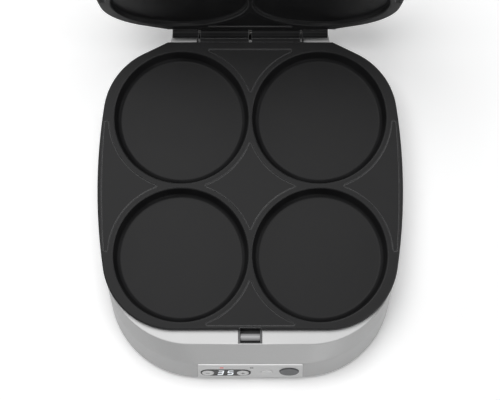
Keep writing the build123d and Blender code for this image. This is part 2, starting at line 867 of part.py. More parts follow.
# Cord gland in the rear wall, bored for a cord
gland_plane = Plane(
    origin=(gland_x, middle_y + plate_rear - housing_side_inset, gland_level),
    x_dir=(1, 0, 0),
    z_dir=(0, 1, 0),
)
with BuildPart() as cord_gland:
    with BuildSketch(gland_plane):
        Circle(gland_radius)
    extrude(amount=gland_flange_thickness)
    fillet(cord_gland.edges().group_by(Axis.Y)[-1], radius=foot_edge)
    with BuildSketch(gland_plane):
        Circle(gland_neck_radius)
    extrude(amount=-(gland_length - gland_flange_thickness))
    with BuildSketch(gland_plane.offset(gland_flange_thickness)):
        Circle(gland_bore_radius)
    extrude(amount=-gland_length, mode=Mode.SUBTRACT)

# Control panel: a light plate sunk into the lower band, with board posts on its back
window_centre = (window_u, window_v)
display_centre = (display_u, window_v)
panel_back = panel_proud - panel_thickness
board_front = panel_back - board_depth + panel_thickness
board_posts = [
    (board_post_left_u, board_post_top_v),
    (board_post_right_u, board_post_top_v),
    (board_post_low_u, board_post_low_v),
]
with BuildPart() as control_panel:
    with BuildSketch(panel_level(panel_back)):
        RectangleRounded(panel_half_width * 2, panel_height, panel_corner_radius)
    extrude(amount=panel_thickness)
    with BuildSketch(panel_level(panel_back)):
        with Locations(*board_posts):
            Circle(board_post_radius)
    extrude(amount=board_front - panel_back)
    with BuildSketch(panel_level(panel_proud)):
        with Locations(window_centre):
            SlotOverall(window_length + seat_clearance * 2, window_height + seat_clearance * 2)
        with Locations((function_u, window_v)):
            Circle(small_button_radius + button_gap)
        with Locations((start_u, start_v)):
            Circle(start_button_radius + button_gap)
        with Locations((power_lamp_u, lamp_v), (ready_lamp_u, lamp_v)):
            Rectangle(lamp_width + seat_clearance * 2, lamp_height + seat_clearance * 2)
    extrude(amount=-panel_thickness, mode=Mode.SUBTRACT)
    with BuildSketch(panel_level(board_front)):
        with Locations(*board_posts):
            Circle(board_screw_radius + running_clearance)
    extrude(amount=board_screw_bite, mode=Mode.SUBTRACT)

# Black window around the display and the two small buttons
window_top = panel_proud + window_proud
window_back = panel_back - window_flange_thickness
with BuildPart() as display_window:
    with BuildSketch(panel_level(panel_back)):
        with Locations(window_centre):
            SlotOverall(window_length, window_height)
    extrude(amount=window_top - panel_back)
    with BuildSketch(panel_level(window_back)):
        with Locations(window_centre):
            SlotOverall(window_length + window_flange * 2, window_height + window_flange * 2)
    extrude(amount=window_flange_thickness)
    with BuildSketch(panel_level(window_top)):
        with Locations((minus_u, window_v), (plus_u, window_v)):
            Circle(small_button_radius + button_gap)
        with Locations(display_centre):
            Rectangle(display_opening_width + seat_clearance, display_opening_height + seat_clearance)
    extrude(amount=window_back - window_top, mode=Mode.SUBTRACT)

# Display module in the window's opening, standing on the board
module_top = window_top - display_sunk
with BuildPart() as display_module:
    with BuildSketch(panel_level(board_front)):
        with Locations(display_centre):
            Rectangle(display_opening_width, display_opening_height)
    extrude(amount=module_top - board_front)


def segment(centre, length, upright):
    """One bar of a seven segment digit, leaning with the digit."""
    lean = tan(radians(digit_slant))
    half_long = length / 2 - segment_gap
    half_thin = segment_width / 2
    half_x, half_y = (half_thin, half_long) if upright else (half_long, half_thin)
    corners = [(-half_x, -half_y), (half_x, -half_y), (half_x, half_y), (-half_x, half_y)]
    points = [(centre[0] + x + (centre[1] + y) * lean, centre[1] + y) for x, y in corners]
    Polygon(*points, align=None)


# Lit bars of each shown digit: top, middle, bottom, upper left, upper right, lower left, lower right
digit_bars = {
    "3": ("top", "middle", "bottom", "upper_right", "lower_right"),
    "5": ("top", "middle", "bottom", "upper_left", "lower_right"),
}
bar_places = {
    "top": (0, digit_height / 2, False),
    "middle": (0, 0, False),
    "bottom": (0, -digit_height / 2, False),
    "upper_left": (-digit_width / 2, digit_height / 4, True),
    "upper_right": (digit_width / 2, digit_height / 4, True),
    "lower_left": (-digit_width / 2, -digit_height / 4, True),
    "lower_right": (digit_width / 2, -digit_height / 4, True),
}
with BuildPart() as display_digits:
    for index, digit in enumerate("35"):
        offset_u = (index * 2 - 1) * digit_pitch / 2
        digit_plane = panel_level(module_top).shift_origin(
            panel_level(module_top).from_local_coords((display_u + offset_u, window_v, 0))
        )
        with BuildSketch(digit_plane):
            for name in digit_bars[digit]:
                across, up, upright = bar_places[name]
                segment((across, up), digit_height / 2 if upright else digit_width, upright)
        extrude(amount=segment_thickness)


def lamp(place_u):
    """Indicator lamp: a light pipe from the board through the panel."""
    with BuildSketch(panel_level(board_front)) as shape:
        with Locations((place_u, lamp_v)):
            Rectangle(lamp_width, lamp_height)
    extrude(shape.sketch, amount=panel_proud + lamp_proud - board_front)


with BuildPart() as power_lamp:
    lamp(power_lamp_u)
with BuildPart() as ready_lamp:
    lamp(ready_lamp_u)

# Control board with a switch block behind each button
flange_back_window = window_back - moving_clearance - button_flange_thickness
flange_back_panel = panel_back - moving_clearance - button_flange_thickness
stem_end = board_front + switch_size / 2
button_places = [(minus_u, window_v), (plus_u, window_v), (function_u, window_v), (start_u, start_v)]
with BuildPart() as control_board:
    with BuildSketch(panel_level(board_front)):
        with Locations((0, (board_top_v + board_low_v) / 2)):
            Rectangle(board_half_width * 2, board_top_v - board_low_v)
    extrude(amount=-board_thickness)
    with BuildSketch(panel_level(board_front)):
        with Locations(*button_places):
            Rectangle(switch_size, switch_size)
    extrude(amount=switch_size / 2 - button_travel - moving_clearance)
    with BuildSketch(panel_level(board_front)):
        with Locations(*board_posts):
            Circle(board_screw_radius + seat_clearance)
    extrude(amount=-board_thickness, mode=Mode.SUBTRACT)

with BuildPart() as board_screws:
    board_back = board_front - board_thickness
    with BuildSketch(panel_level(board_back)):
        with Locations(*board_posts):
            Circle(board_screw_head_radius)
    extrude(amount=-board_screw_head_height)
    with BuildSketch(panel_level(board_back)):
        with Locations(*board_posts):
            Circle(board_screw_radius)
    extrude(amount=board_thickness + board_screw_bite - seat_clearance)


def push_button(place, radius, flange_back):
    """Cap, retaining flange and stem of one push button."""
    cap_top = panel_proud + button_proud
    with BuildSketch(panel_level(flange_back)) as cap:
        with Locations(place):
            Circle(radius)
    extrude(cap.sketch, amount=cap_top - flange_back)
    rim = edges().filter_by(GeomType.CIRCLE).sort_by(Axis(panel_origin, panel_normal))[-1]
    fillet(rim, radius=button_edge)
    with BuildSketch(panel_level(flange_back)) as flange:
        with Locations(place):
            Circle(radius + button_gap + button_flange)
    extrude(flange.sketch, amount=button_flange_thickness)
    with BuildSketch(panel_level(stem_end)) as stem:
        with Locations(place):
            Circle(button_stem_radius)
    extrude(stem.sketch, amount=flange_back - stem_end)


with BuildPart() as minus_button:
    push_button((minus_u, window_v), small_button_radius, flange_back_window)
with BuildPart() as plus_button:
    push_button((plus_u, window_v), small_button_radius, flange_back_window)
with BuildPart() as function_button:
    push_button((function_u, window_v), small_button_radius, flange_back_panel)
with BuildPart() as start_button:
    push_button((start_u, start_v), start_button_radius, flange_back_panel)

# Power board on standoffs of its own, beside the front pillar
power_board_y = power_board_inset - plate_front
power_place = (power_board_x, power_board_y)
with BuildPart() as power_board:
    with BuildSketch(base_level(pan_top + power_board_standoff)):
        with Locations(power_place):
            Rectangle(power_board_length, power_board_depth)
    extrude(amount=board_thickness)
    with BuildSketch(base_level(pan_top)):
        with Locations(power_place):
            with GridLocations(
                power_board_length - board_post_radius * 3, power_board_depth - board_post_radius * 3, 2, 2
            ):
                Circle(board_post_radius)
    extrude(amount=power_board_standoff)
    component_level = base_level(pan_top + power_board_standoff + board_thickness)
    with BuildSketch(component_level):
        with Locations((power_board_x - component_spacing, power_board_y), power_place):
            Rectangle(relay_depth, relay_length)
    extrude(amount=relay_height)
    with BuildSketch(component_level):
        with Locations((power_board_x + component_spacing, power_board_y)):
            Circle(capacitor_radius)
    extrude(amount=capacitor_height)

# Lid cover: bowed outline with a rounded top, hollow, with posts over the shield
lid_low = upper_lip_top + seat_clearance
lid_top = upper_face + lid_height + lip_depth
lid_axis = Axis(lid_origin, lid_up)
with BuildPart() as lid_cover:
    with BuildSketch(lid_level(lid_low)):
        add(plate_shape(housing_side_inset))
    extrude(amount=lid_top - lid_low)
    fillet(lid_cover.faces().sort_by(lid_axis)[-1].edges(), radius=lid_top_fillet)
    with BuildSketch(lid_level(lid_low)):
        add(plate_shape(housing_side_inset + lid_wall))
    extrude(amount=lid_height - lid_wall - lid_top_fillet, mode=Mode.SUBTRACT)
    with BuildSketch(lid_level(lid_low + lid_height - lid_wall - lid_top_fillet)):
        add(plate_shape(housing_side_inset + lid_top_fillet))
    extrude(amount=lid_top_fillet, mode=Mode.SUBTRACT)
    with BuildSketch(lid_level(upper_flange_top)):
        add(plate_shape(upstand_inset))
    extrude(amount=lid_low - upper_flange_top + tiny)
    with BuildSketch(lid_level(upper_flange_top)):
        add(plate_shape(upstand_inset + upstand_thickness))
        with Locations(*mould_places):
            Circle(bowl_room)
    extrude(amount=lid_low - upper_flange_top + overrun, mode=Mode.SUBTRACT)
    with BuildSketch(lid_level(upper_shield_level + shield_thickness)):
        with Locations(*upper_bosses):
            Circle(lid_post_radius)
    extrude(amount=lid_top - upper_shield_level - shield_thickness - lid_wall / 2)
    with BuildSketch(lid_level(upper_shield_level + shield_thickness)):
        with Locations(*upper_bosses):
            Circle(lid_screw_radius + running_clearance)
    extrude(amount=screw_bite + seat_clearance, mode=Mode.SUBTRACT)
    with BuildSketch(lid_front(overrun)):
        with Locations((-handle_half_width, handle_bar_level), (handle_half_width, handle_bar_level)):
            Circle(handle_screw_radius + running_clearance)
    extrude(amount=-(lid_wall + overrun * 2), mode=Mode.SUBTRACT)

# Lid screws: flush in the pads, through plate and shield into the cover's posts
with BuildPart() as lid_screws:
    with BuildSketch(lid_level(upper_face + pad_depth)):
        with Locations(*upper_bosses):
            Circle(lid_screw_head_radius)
    extrude(amount=lid_screw_head_height)
    with BuildSketch(lid_level(upper_face + pad_depth)):
        with Locations(*upper_bosses):
            Circle(lid_screw_radius)
    extrude(amount=upper_shield_level + shield_thickness + screw_bite - upper_face - pad_depth)

# Handle: a bow on a mounting plate, with two ears for the latch
pivot_y = -(plate_front + lever_pivot_ahead)
pivot = (pivot_y, lever_pivot_level)
handle_front_y = -(plate_front - housing_side_inset + handle_plate_thickness)
bow_start = -(plate_front - housing_side_inset + seat_clearance)
bow_front = bow_start - handle_reach
ear_start = lever_half_width + ear_gap
with BuildPart() as lid_handle:
    with BuildSketch(lid_front(0)):
        with Locations((0, (handle_plate_low + handle_plate_high) / 2)):
            RectangleRounded(
                handle_plate_half_width * 2, handle_plate_high - handle_plate_low, handle_plate_corner
            )
    extrude(amount=handle_plate_thickness)
    with BuildLine(lid_level(handle_bar_level)) as bow:
        FilletPolyline(
            (-handle_half_width, bow_start),
            (-handle_half_width, bow_front),
            (handle_half_width, bow_front),
            (handle_half_width, bow_start),
            radius=handle_bow_radius,
        )
    with BuildSketch(Plane(origin=bow.line @ 0, x_dir=(1, 0, 0), z_dir=bow.line % 0)):
        Ellipse(handle_bar_depth / 2, handle_bar_height / 2)
    sweep(path=bow.line)
    for start in (ear_start, -ear_start - ear_thickness):
        with BuildSketch(lid_side(start)):
            with Locations(pivot):
                Circle(ear_radius)
            with BuildLine():
                Polyline(
                    (handle_front_y, ear_low),
                    (handle_front_y, ear_high),
                    (pivot_y, lever_pivot_level + ear_radius),
                    (pivot_y, lever_pivot_level - ear_radius),
                    close=True,
                )
            make_face()
            with Locations(pivot):
                Circle(latch_pin_radius + running_clearance, mode=Mode.SUBTRACT)
        extrude(amount=ear_thickness)
    with BuildSketch(lid_front(0)):
        with Locations((-handle_half_width, handle_bar_level), (handle_half_width, handle_bar_level)):
            Circle(handle_screw_radius + running_clearance)
    extrude(amount=handle_screw_length, mode=Mode.SUBTRACT)

with BuildPart() as handle_screws:
    with BuildSketch(lid_front(-lid_wall)):
        with Locations((-handle_half_width, handle_bar_level), (handle_half_width, handle_bar_level)):
            Circle(handle_screw_head_radius)
    extrude(amount=-handle_screw_head_height)
    with BuildSketch(lid_front(-lid_wall)):
        with Locations((-handle_half_width, handle_bar_level), (handle_half_width, handle_bar_level)):
            Circle(handle_screw_radius)
    extrude(amount=lid_wall + handle_screw_length - seat_clearance)

# Latch lever: thumb tab above, hook below that reaches behind the bar of the tray
hook_front = latch_bar_radius - bar_middle + moving_clearance
hook_rear = hook_front + hook_thickness
toe_top = latch_bar_level - latch_bar_radius - moving_clearance / 2
toe_low = toe_top - toe_thickness
body_rear = pivot_y + lever_body_behind
body_front = pivot_y - lever_body_ahead
tab_low = lever_top_level - lever_tab_height
spring_pitch = spring_wire_radius * 2 + spring_turn_gap
spring_half_length = spring_pitch * spring_turns / 2
spring_coil_radius = latch_pin_radius + moving_clearance + spring_wire_radius
pocket_radius = spring_coil_radius + spring_wire_radius + spring_room
with BuildPart() as latch_lever:
    with BuildSketch(lid_side(-lever_half_width)) as lever_profile:
        with BuildLine():
            Polyline(
                (hook_rear, toe_low),
                (hook_rear, lever_step_level),
                (body_rear, lever_step_level + lever_step_height),
                (body_rear, lever_top_level),
                (body_front - lever_tab_reach, lever_top_level),
                (body_front - lever_tab_reach, lever_top_level - lever_tab_reach / 2),
                (body_front, tab_low),
                (body_front, lever_step_level + lever_step_height),
                (hook_front, lever_body_low),
                (hook_front, toe_top),
                (hook_front - toe_reach, toe_top),
                (hook_front - toe_reach, toe_top - toe_thickness / 4),
                (hook_front, toe_low),
                close=True,
            )
        make_face()
        with Locations(pivot):
            Circle(latch_pin_radius + running_clearance, mode=Mode.SUBTRACT)
    extrude(amount=lever_half_width * 2)
    pocket_half = spring_half_length + spring_wire_radius + spring_room
    with BuildSketch(lid_side(-pocket_half)):
        with Locations(pivot):
            Circle(pocket_radius)
            Rectangle(lever_body_behind * 2, pocket_radius * 2, align=(Align.MIN, Align.CENTER))
    extrude(amount=pocket_half * 2, mode=Mode.SUBTRACT)

with BuildPart() as latch_pin:
    with BuildSketch(lid_side(-ear_start - ear_thickness)):
        with Locations(pivot):
            Circle(latch_pin_radius)
    extrude(amount=(ear_start + ear_thickness) * 2)

# Return spring of the latch, drawn round Z with the pin's X turned upward: wire turns, a long leg that
# bends up along the handle's plate and a short one over the floor of the lever's pocket
with BuildPart() as spring_form:
    with BuildLine() as coil:
        Helix(spring_pitch, spring_half_length * 2, spring_coil_radius)
    coil_start = coil.line @ 0
    coil_end = coil.line @ 1
    long_leg = (handle_front_y - pivot_y - spring_wire_radius) / (coil.line % 0).Y
    leg_turn = coil_start - (coil.line % 0) * long_leg
    leg_tip = leg_turn + Vector(spring_leg_rise, 0, 0)
    with BuildLine() as long_leg_line:
        FilletPolyline(coil_start, leg_turn, leg_tip, radius=spring_leg_bend)
    with BuildLine() as short_leg_line:
        Line(coil_end, coil_end + (coil.line % 1) * spring_short_leg)
    for path in (coil.line, long_leg_line.line, short_leg_line.line):
        with BuildSketch(Plane(origin=path @ 0, z_dir=path % 0)):
            Circle(spring_wire_radius)
        sweep(path=path)

spring_origin = lid_side(-spring_half_length).from_local_coords((pivot_y, lever_pivot_level, 0))
with BuildPart() as latch_spring:
    with Locations(Plane(origin=spring_origin, x_dir=lid_up, z_dir=(1, 0, 0)).location):
        add(spring_form.part)

pieces = {
    "base_housing": base_housing,
    "base_pan": base_pan,
    **feet,
    "plate_screws": plate_screws,
    "base_screws": base_screws,
    "lower_plate": lower_plate,
    "lower_heating_element": lower_heating_element,
    "lower_heat_shield": lower_heat_shield,
    "temperature_sensor": temperature_sensor,
    "hinge_pin": hinge_pin,
    "latch_keeper": latch_keeper,
    "cord_gland": cord_gland,
    "control_panel": control_panel,
    "display_window": display_window,
    "display_module": display_module,
    "display_digits": display_digits,
    "power_lamp": power_lamp,
    "ready_lamp": ready_lamp,
    "control_board": control_board,
    "board_screws": board_screws,
    "power_board": power_board,
    "minus_button": minus_button,
    "plus_button": plus_button,
    "function_button": function_button,
    "start_button": start_button,
    "lid_cover": lid_cover,
    "upper_plate": upper_plate,
    "upper_heating_element": upper_heating_element,
    "upper_heat_shield": upper_heat_shield,
    "lid_screws": lid_screws,
    "lid_handle": lid_handle,
    "handle_screws": handle_screws,
    "latch_lever": latch_lever,
    "latch_pin": latch_pin,
    "latch_spring": latch_spring,
}
os.makedirs("parts", exist_ok=True)
for name, piece in pieces.items():
    piece.part.label = name
    export_step(piece.part, f"parts/{name}.step")
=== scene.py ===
# %% [markdown]
# # A four-mould pancake maker, dressed for its portrait
#
# The engineering model of the maker is packed as a fixed frame: every part lies where it belongs and
# knows which moving body it rides on. This lesson loads that frame, softens the hard edges of the
# solids, adds the small pieces that a drawing leaves out, and mixes a finish for every surface.
# All lengths are metres and all places are the frame's own, so nothing has to be fitted by eye.

import json
from math import atan2, cos, hypot, pi, radians, sin, tan

import bmesh
import bpy
from mathutils import Matrix, Vector


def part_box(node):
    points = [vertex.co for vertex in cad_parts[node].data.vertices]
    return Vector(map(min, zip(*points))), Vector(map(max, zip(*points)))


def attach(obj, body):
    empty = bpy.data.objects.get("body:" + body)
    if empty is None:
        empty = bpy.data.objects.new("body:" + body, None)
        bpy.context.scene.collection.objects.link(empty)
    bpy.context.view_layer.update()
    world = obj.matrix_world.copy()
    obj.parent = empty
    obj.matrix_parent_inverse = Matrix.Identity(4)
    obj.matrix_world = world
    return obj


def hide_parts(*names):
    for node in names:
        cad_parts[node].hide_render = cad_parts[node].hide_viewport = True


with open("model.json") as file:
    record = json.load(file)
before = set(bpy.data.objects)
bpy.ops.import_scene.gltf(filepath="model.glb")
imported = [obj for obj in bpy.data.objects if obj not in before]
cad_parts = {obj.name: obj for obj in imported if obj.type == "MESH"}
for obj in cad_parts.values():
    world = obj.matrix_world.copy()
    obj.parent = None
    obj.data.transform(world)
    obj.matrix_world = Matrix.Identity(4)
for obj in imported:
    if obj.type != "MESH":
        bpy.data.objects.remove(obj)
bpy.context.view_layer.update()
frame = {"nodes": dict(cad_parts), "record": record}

# %% [markdown]
# ## The camera
#
# The picture looks down on the open maker from very high, and the round moulds stay almost equal in
# size from front to back. Such a flat perspective means a long lens from far away. A lens length and
# a distance that fit the moulds' rims were found by measuring, so the camera is simply placed at that
# distance along the viewing angle and turned to its aim point.

# %% Camera
view_angle = radians(80)
view_distance = 2.218
focal_pixels = 2600
image_width_pixels = 500
aim = Vector((-0.0002, -0.03305, 0.055))

camera_data = bpy.data.cameras.new("picture_camera")
camera_data.sensor_width = 36
camera_data.lens = focal_pixels * camera_data.sensor_width / image_width_pixels
camera_data.clip_end = 20
camera = bpy.data.objects.new("picture_camera", camera_data)
bpy.context.scene.collection.objects.link(camera)
toward_camera = Vector((0, -cos(view_angle), sin(view_angle)))
camera.location = aim + toward_camera * view_distance
camera.rotation_euler = (-toward_camera).to_track_quat("-Z", "Y").to_euler()
bpy.context.scene.camera = camera
bpy.context.scene.view_settings.view_transform = "Standard"
print("camera lens", round(camera_data.lens, 1), "mm at", tuple(round(v, 3) for v in camera.location))

# %% [markdown]
# ## Shader maths that reads like maths
#
# A procedural finish is a little program of nodes. Wiring nodes by hand hides the idea, so one small
# class wraps a socket and lets + - * build the Math nodes, and one method of the Finish class makes
# any other node from its type, its settings and its inputs.


# %% Sockets as values
class Wire:
    """One socket of a finish. Python's operators on it add Math nodes."""

    def __init__(self, finish, socket):
        self.finish = finish
        self.socket = socket

    def math(self, operation, left, right):
        return self.finish.add("ShaderNodeMath", {"operation": operation}, {0: left, 1: right})

    def __add__(self, other):
        return self.math("ADD", self, other)

    def __radd__(self, other):
        return self.math("ADD", other, self)

    def __sub__(self, other):
        return self.math("SUBTRACT", self, other)

    def __mul__(self, other):
        return self.math("MULTIPLY", self, other)


class Finish:
    """A material under construction, with its main shader ready to be fed."""

    def __init__(self, name, colour, roughness, **constants):
        self.material = bpy.data.materials.new(name)
        self.material.use_nodes = True
        self.tree = self.material.node_tree
        self.shader = self.tree.nodes["Principled BSDF"]
        self.shader.inputs["Base Color"].default_value = (*colour, 1)
        self.shader.inputs["Roughness"].default_value = roughness
        for socket, value in constants.items():
            self.shader.inputs[socket.replace("_", " ")].default_value = value

    def add(self, kind, settings=None, inputs=None, output=0):
        """Makes one node: settings first, then the values or links of its sockets."""
        node = self.tree.nodes.new(kind)
        for key, value in (settings or {}).items():
            if key == "stops":
                while len(node.color_ramp.elements) < len(value):
                    node.color_ramp.elements.new(1)
                for element, (place, colour) in zip(node.color_ramp.elements, value):
                    element.position = place
                    element.color = (*colour, 1)
            else:
                setattr(node, key, value)
        for key, value in (inputs or {}).items():
            self.plug(node.inputs[key], value)
        return Wire(self, node.outputs[output])

    def plug(self, socket, value):
        """Links a wire to a socket, or sets the socket's own value."""
        if isinstance(value, Wire):
            self.tree.links.new(value.socket, socket)
        else:
            socket.default_value = value

    def feed(self, **wires):
        """Feeds the main shader by socket name, with spaces written as underscores."""
        for name, value in wires.items():
            self.plug(self.shader.inputs[name.replace("_", " ")], value)


print("shader tools ready")

# %% [markdown]
# ## Words for surfaces
#
# Most finishes need the same few ingredients: the place on the piece, a noise at a real scale, a mask
# of the edges, for wear where fingers and cloths rub and for a painted highlight along rims, and a
# bump. Each ingredient becomes one function, so a finish below reads as a recipe. The noise scale is
# counted per metre: 400 gives grains of 2.5 mm.


# %% Ingredients of a finish
def place_on(finish):
    """The point on the piece in metres; every piece keeps its place in its mesh."""
    return finish.add("ShaderNodeTexCoord", output=3)


def noise(finish, scale, detail=2.0, stretch=(1, 1, 1)):
    """Cloudy values round one half, at a scale counted per metre."""
    where = place_on(finish)
    if stretch != (1, 1, 1):
        where = finish.add("ShaderNodeMapping", inputs={"Vector": where, "Scale": stretch})
    return finish.add("ShaderNodeTexNoise", inputs={"Vector": where, "Scale": scale, "Detail": detail})


def cells(finish, scale):
    """Small cells for paint flakes and moulded grain."""
    return finish.add("ShaderNodeTexVoronoi", inputs={"Vector": place_on(finish), "Scale": scale})


def edge_mask(finish, width, full=0.8):
    """One along sharp edges and zero on flats: a rounded normal turns away from the true one.

    Where the two normals match no better than full, the mask is wholly one; it marks wear, and on the
    coating a painted highlight too.
    """
    rounded = finish.add("ShaderNodeBevel", {"samples": 4}, {"Radius": width})
    true = finish.add("ShaderNodeNewGeometry", output=1)
    match = finish.add(
        "ShaderNodeVectorMath", {"operation": "DOT_PRODUCT"}, {0: rounded, 1: true}, output=1
    )
    return finish.add(
        "ShaderNodeMapRange", {"clamp": True}, {"Value": match, "From Min": 0.995, "From Max": full}
    )


def two_colours(finish, mask, first, second):
    """Blends two colours by a mask, with a colour Mix node."""
    return finish.add(
        "ShaderNodeMix",
        {"data_type": "RGBA"},
        {"Factor": mask, 6: (*first, 1), 7: (*second, 1)},
        output=2,
    )


def bump(finish, height, strength, depth):
    """Turns a height into a tilted normal."""
    return finish.add(
        "ShaderNodeBump", inputs={"Strength": strength, "Distance": depth, "Height": height}
    )


print("ingredients ready")

# %% [markdown]
# ## Silver shell
#
# The housing and the lid are moulded plastic with a satin silver paint. Real silver paint is neither
# chrome nor grey: it holds tiny flakes, so a little of its light behaves like metal and the rest is
# matt. A low metallic value with a fine flake pattern gives that, and the flakes stay well under a
# millimetre, because larger ones would make the maker look like a toy.

# %% Silver paint
silver = Finish("silver_paint", (0.61, 0.61, 0.61), 0.42, Metallic=0.2, Specular_IOR_Level=0.4)
flakes = cells(silver, 2600)
clouds = noise(silver, 9)
worn = edge_mask(silver, 0.0008)
silver.feed(
    Base_Color=two_colours(
        silver, flakes * 0.5 + clouds * 0.3, (0.5, 0.5, 0.5), (0.6, 0.6, 0.6)
    ),
    Roughness=0.44 + (clouds - 0.5) * 0.08 - worn * 0.06,
    Normal=bump(silver, flakes, 0.06, 0.00004),
)
print("finish:", silver.material.name)

# %% [markdown]
# ## Non-stick coating
#
# Both castings are aluminium under a black baked coating. It is darker than most plastics but never
# quite black: the sprayed film is slightly lumpy, and the sky above shows in it as a soft grey. A very
# dark base, a middling roughness and an orange-peel bump finer than a millimetre give that skin. Where
# tools slide over rims the coating is worn to a lower roughness, and the edges also get a lighter
# colour, which is a painted highlight along the rims and pad edges. The lid's casting is seen at a
# grazing angle, where every skin turns into a mirror, so the gloss of both recipes is kept low.


# %% Coated casting
def coated(name, gloss_level):
    """Black baked coating on a casting, polished where tools rub it, with a painted highlight on its
    edges.
    """
    finish = Finish(name, (0.012, 0.012, 0.013), 0.45, Specular_IOR_Level=gloss_level)
    peel = noise(finish, 1500, 3)
    streaks = noise(finish, 40, 4)
    wear_and_painted_highlight = edge_mask(finish, 0.0009, 0.93)
    finish.feed(
        # The edge mask lightens the colour to a pale grey along rims and pad edges: a painted highlight.
        # Its lower roughness there is wear.
        Base_Color=two_colours(
            finish, streaks * 0.09 + wear_and_painted_highlight * 0.85, (0.006, 0.006, 0.0065), (0.2, 0.2, 0.202)
        ),
        Roughness=0.42 + (streaks - 0.5) * 0.14 - wear_and_painted_highlight * 0.12,
        Normal=bump(finish, peel, 0.12, 0.00006),
    )
    print("finish:", name)
    return finish


coating = coated("non_stick_coating", 0.1)
lid_coating = coated("non_stick_coating_of_the_lid", 0.12)

# %% [markdown]
# ## Dark plastics, rubber and metal
#
# The handle, the pan and the latch are moulded in dark plastics whose tools were etched with a fine
# leathery grain, and the panel and its keys in pale ones. Rubber is duller and softer.


# %% Moulded plastics and rubber
def grained(name, colour, roughness, grain_scale, grain_strength):
    """Moulded plastic or rubber with an etched grain."""
    finish = Finish(name, colour, roughness, Specular_IOR_Level=0.4)
    grain = cells(finish, grain_scale)
    haze = noise(finish, 25, 3)
    lighter = tuple(min(1, c * 1.25 + 0.004) for c in colour)
    darker = tuple(c * 0.85 for c in colour)
    finish.feed(
        Base_Color=two_colours(finish, haze * 0.7 + grain * 0.3, darker, lighter),
        Roughness=roughness + (haze - 0.5) * 0.12,
        Normal=bump(finish, grain, grain_strength, 0.00005),
    )
    print("finish:", name)
    return finish


dark_plastic = grained("dark_grained_plastic", (0.028, 0.028, 0.031), 0.5, 1800, 0.2)
pan_plastic = grained("underside_plastic", (0.04, 0.04, 0.041), 0.58, 1200, 0.3)
latch_plastic = grained("latch_grey_plastic", (0.075, 0.075, 0.078), 0.38, 2400, 0.08)
rubber = grained("foot_rubber", (0.02, 0.02, 0.02), 0.8, 1500, 0.25)
light_plastic = grained("panel_light_plastic", (0.95, 0.95, 0.95), 0.42, 2600, 0.04)
# Pale grey for the latch bar's sleeve: a painted highlight standing in for light on the bar's rounded
# top.
bar_painted_highlight = grained("latch_bar_painted_highlight", (0.4, 0.4, 0.405), 0.3, 2600, 0.03)
button_plastic = grained("button_pale_plastic", (0.95, 0.95, 0.95), 0.36, 2600, 0.03)
start_plastic = grained("start_button_plastic", (0.085, 0.09, 0.095), 0.4, 2400, 0.05)
sensor_plastic = grained("sensor_plastic", (0.2, 0.12, 0.05), 0.45, 1500, 0.05)

# %% [markdown]
# ## Metals
#
# The screws and the hinge pin are steel, both turned on a lathe, so their fine lines run round them; a
# noise stretched along one axis is close enough at this size. The pin's dark grey is painted shade, for
# the shade in the gaps between the knuckles. The heater's sheath has gone brown and blue from its first
# heating, and a colour ramp holds those tints.


# %% Steel, sheet and sheath
def turned_metal(name, colour, roughness, scale, stretch):
    """Bare metal with fine lines, drawn or turned."""
    finish = Finish(name, colour, roughness, Metallic=1.0)
    lines = noise(finish, scale, 2, stretch)
    stains = noise(finish, 60, 3)
    finish.feed(
        Base_Color=two_colours(finish, stains, tuple(c * 0.88 for c in colour), colour),
        Roughness=roughness + (lines - 0.5) * 0.18,
        Normal=bump(finish, lines, 0.08, 0.00004),
    )
    print("finish:", name)
    return finish


steel = turned_metal("turned_steel", (0.62, 0.615, 0.6), 0.32, 900, (8, 1, 1))
# The hinge pin's dark grey is painted shade: it keeps the pin as dark as the shaded gaps between the
# knuckles.
pin_steel_painted_shade = turned_metal("hinge_pin_painted_shade_steel", (0.09, 0.088, 0.085), 0.4, 900, (8, 1, 1))
shield_sheet = turned_metal("rolled_shield_sheet", (0.8, 0.8, 0.8), 0.3, 300, (1, 20, 1))
sheath = Finish("heater_sheath", (0.2, 0.17, 0.15), 0.4, Metallic=0.9)
tints = noise(sheath, 18, 3)
sheath.feed(
    Base_Color=sheath.add(
        "ShaderNodeValToRGB",
        {"stops": [(0.3, (0.14, 0.13, 0.13)), (0.5, (0.24, 0.17, 0.11)), (0.7, (0.12, 0.12, 0.17))]},
        {"Fac": tints},
    ),
    Roughness=0.36 + tints * 0.16,
)
print("finish:", sheath.material.name)

# %% [markdown]
# ## Glossy black, lights and the boards
#
# The display window is hard gloss black with hair-fine wipe marks. The digits and the red lamp give
# light of their own; the strength stays below one, so they look lit and not like lasers. The circuit
# boards hide inside, yet they get a green mask with copper lines, made from a brick pattern, because
# the lid of a model is there to be opened.

# %% Gloss, lamps and boards
gloss = Finish("window_gloss_black", (0.01, 0.01, 0.012), 0.12, Specular_IOR_Level=0.15)
wipes = noise(gloss, 220, 3, (1, 6, 1))
gloss.feed(
    Roughness=0.1 + wipes * 0.1,
    Base_Color=two_colours(gloss, wipes, (0.007, 0.007, 0.009), (0.014, 0.014, 0.016)),
)
smoked = Finish("display_smoked", (0.012, 0.013, 0.015), 0.2, Specular_IOR_Level=0.15)
smoked.feed(Roughness=0.18 + noise(smoked, 300) * 0.08)


def lit(name, colour, strength, roughness=0.3):
    """A lens with a glow of its own that varies a little across its face."""
    finish = Finish(name, colour, roughness, Emission_Strength=strength)
    glow = noise(finish, 500)
    finish.feed(
        Emission_Color=two_colours(finish, glow, tuple(c * 0.85 for c in colour), colour),
        Roughness=roughness + glow * 0.05,
    )
    print("finish:", name)
    return finish


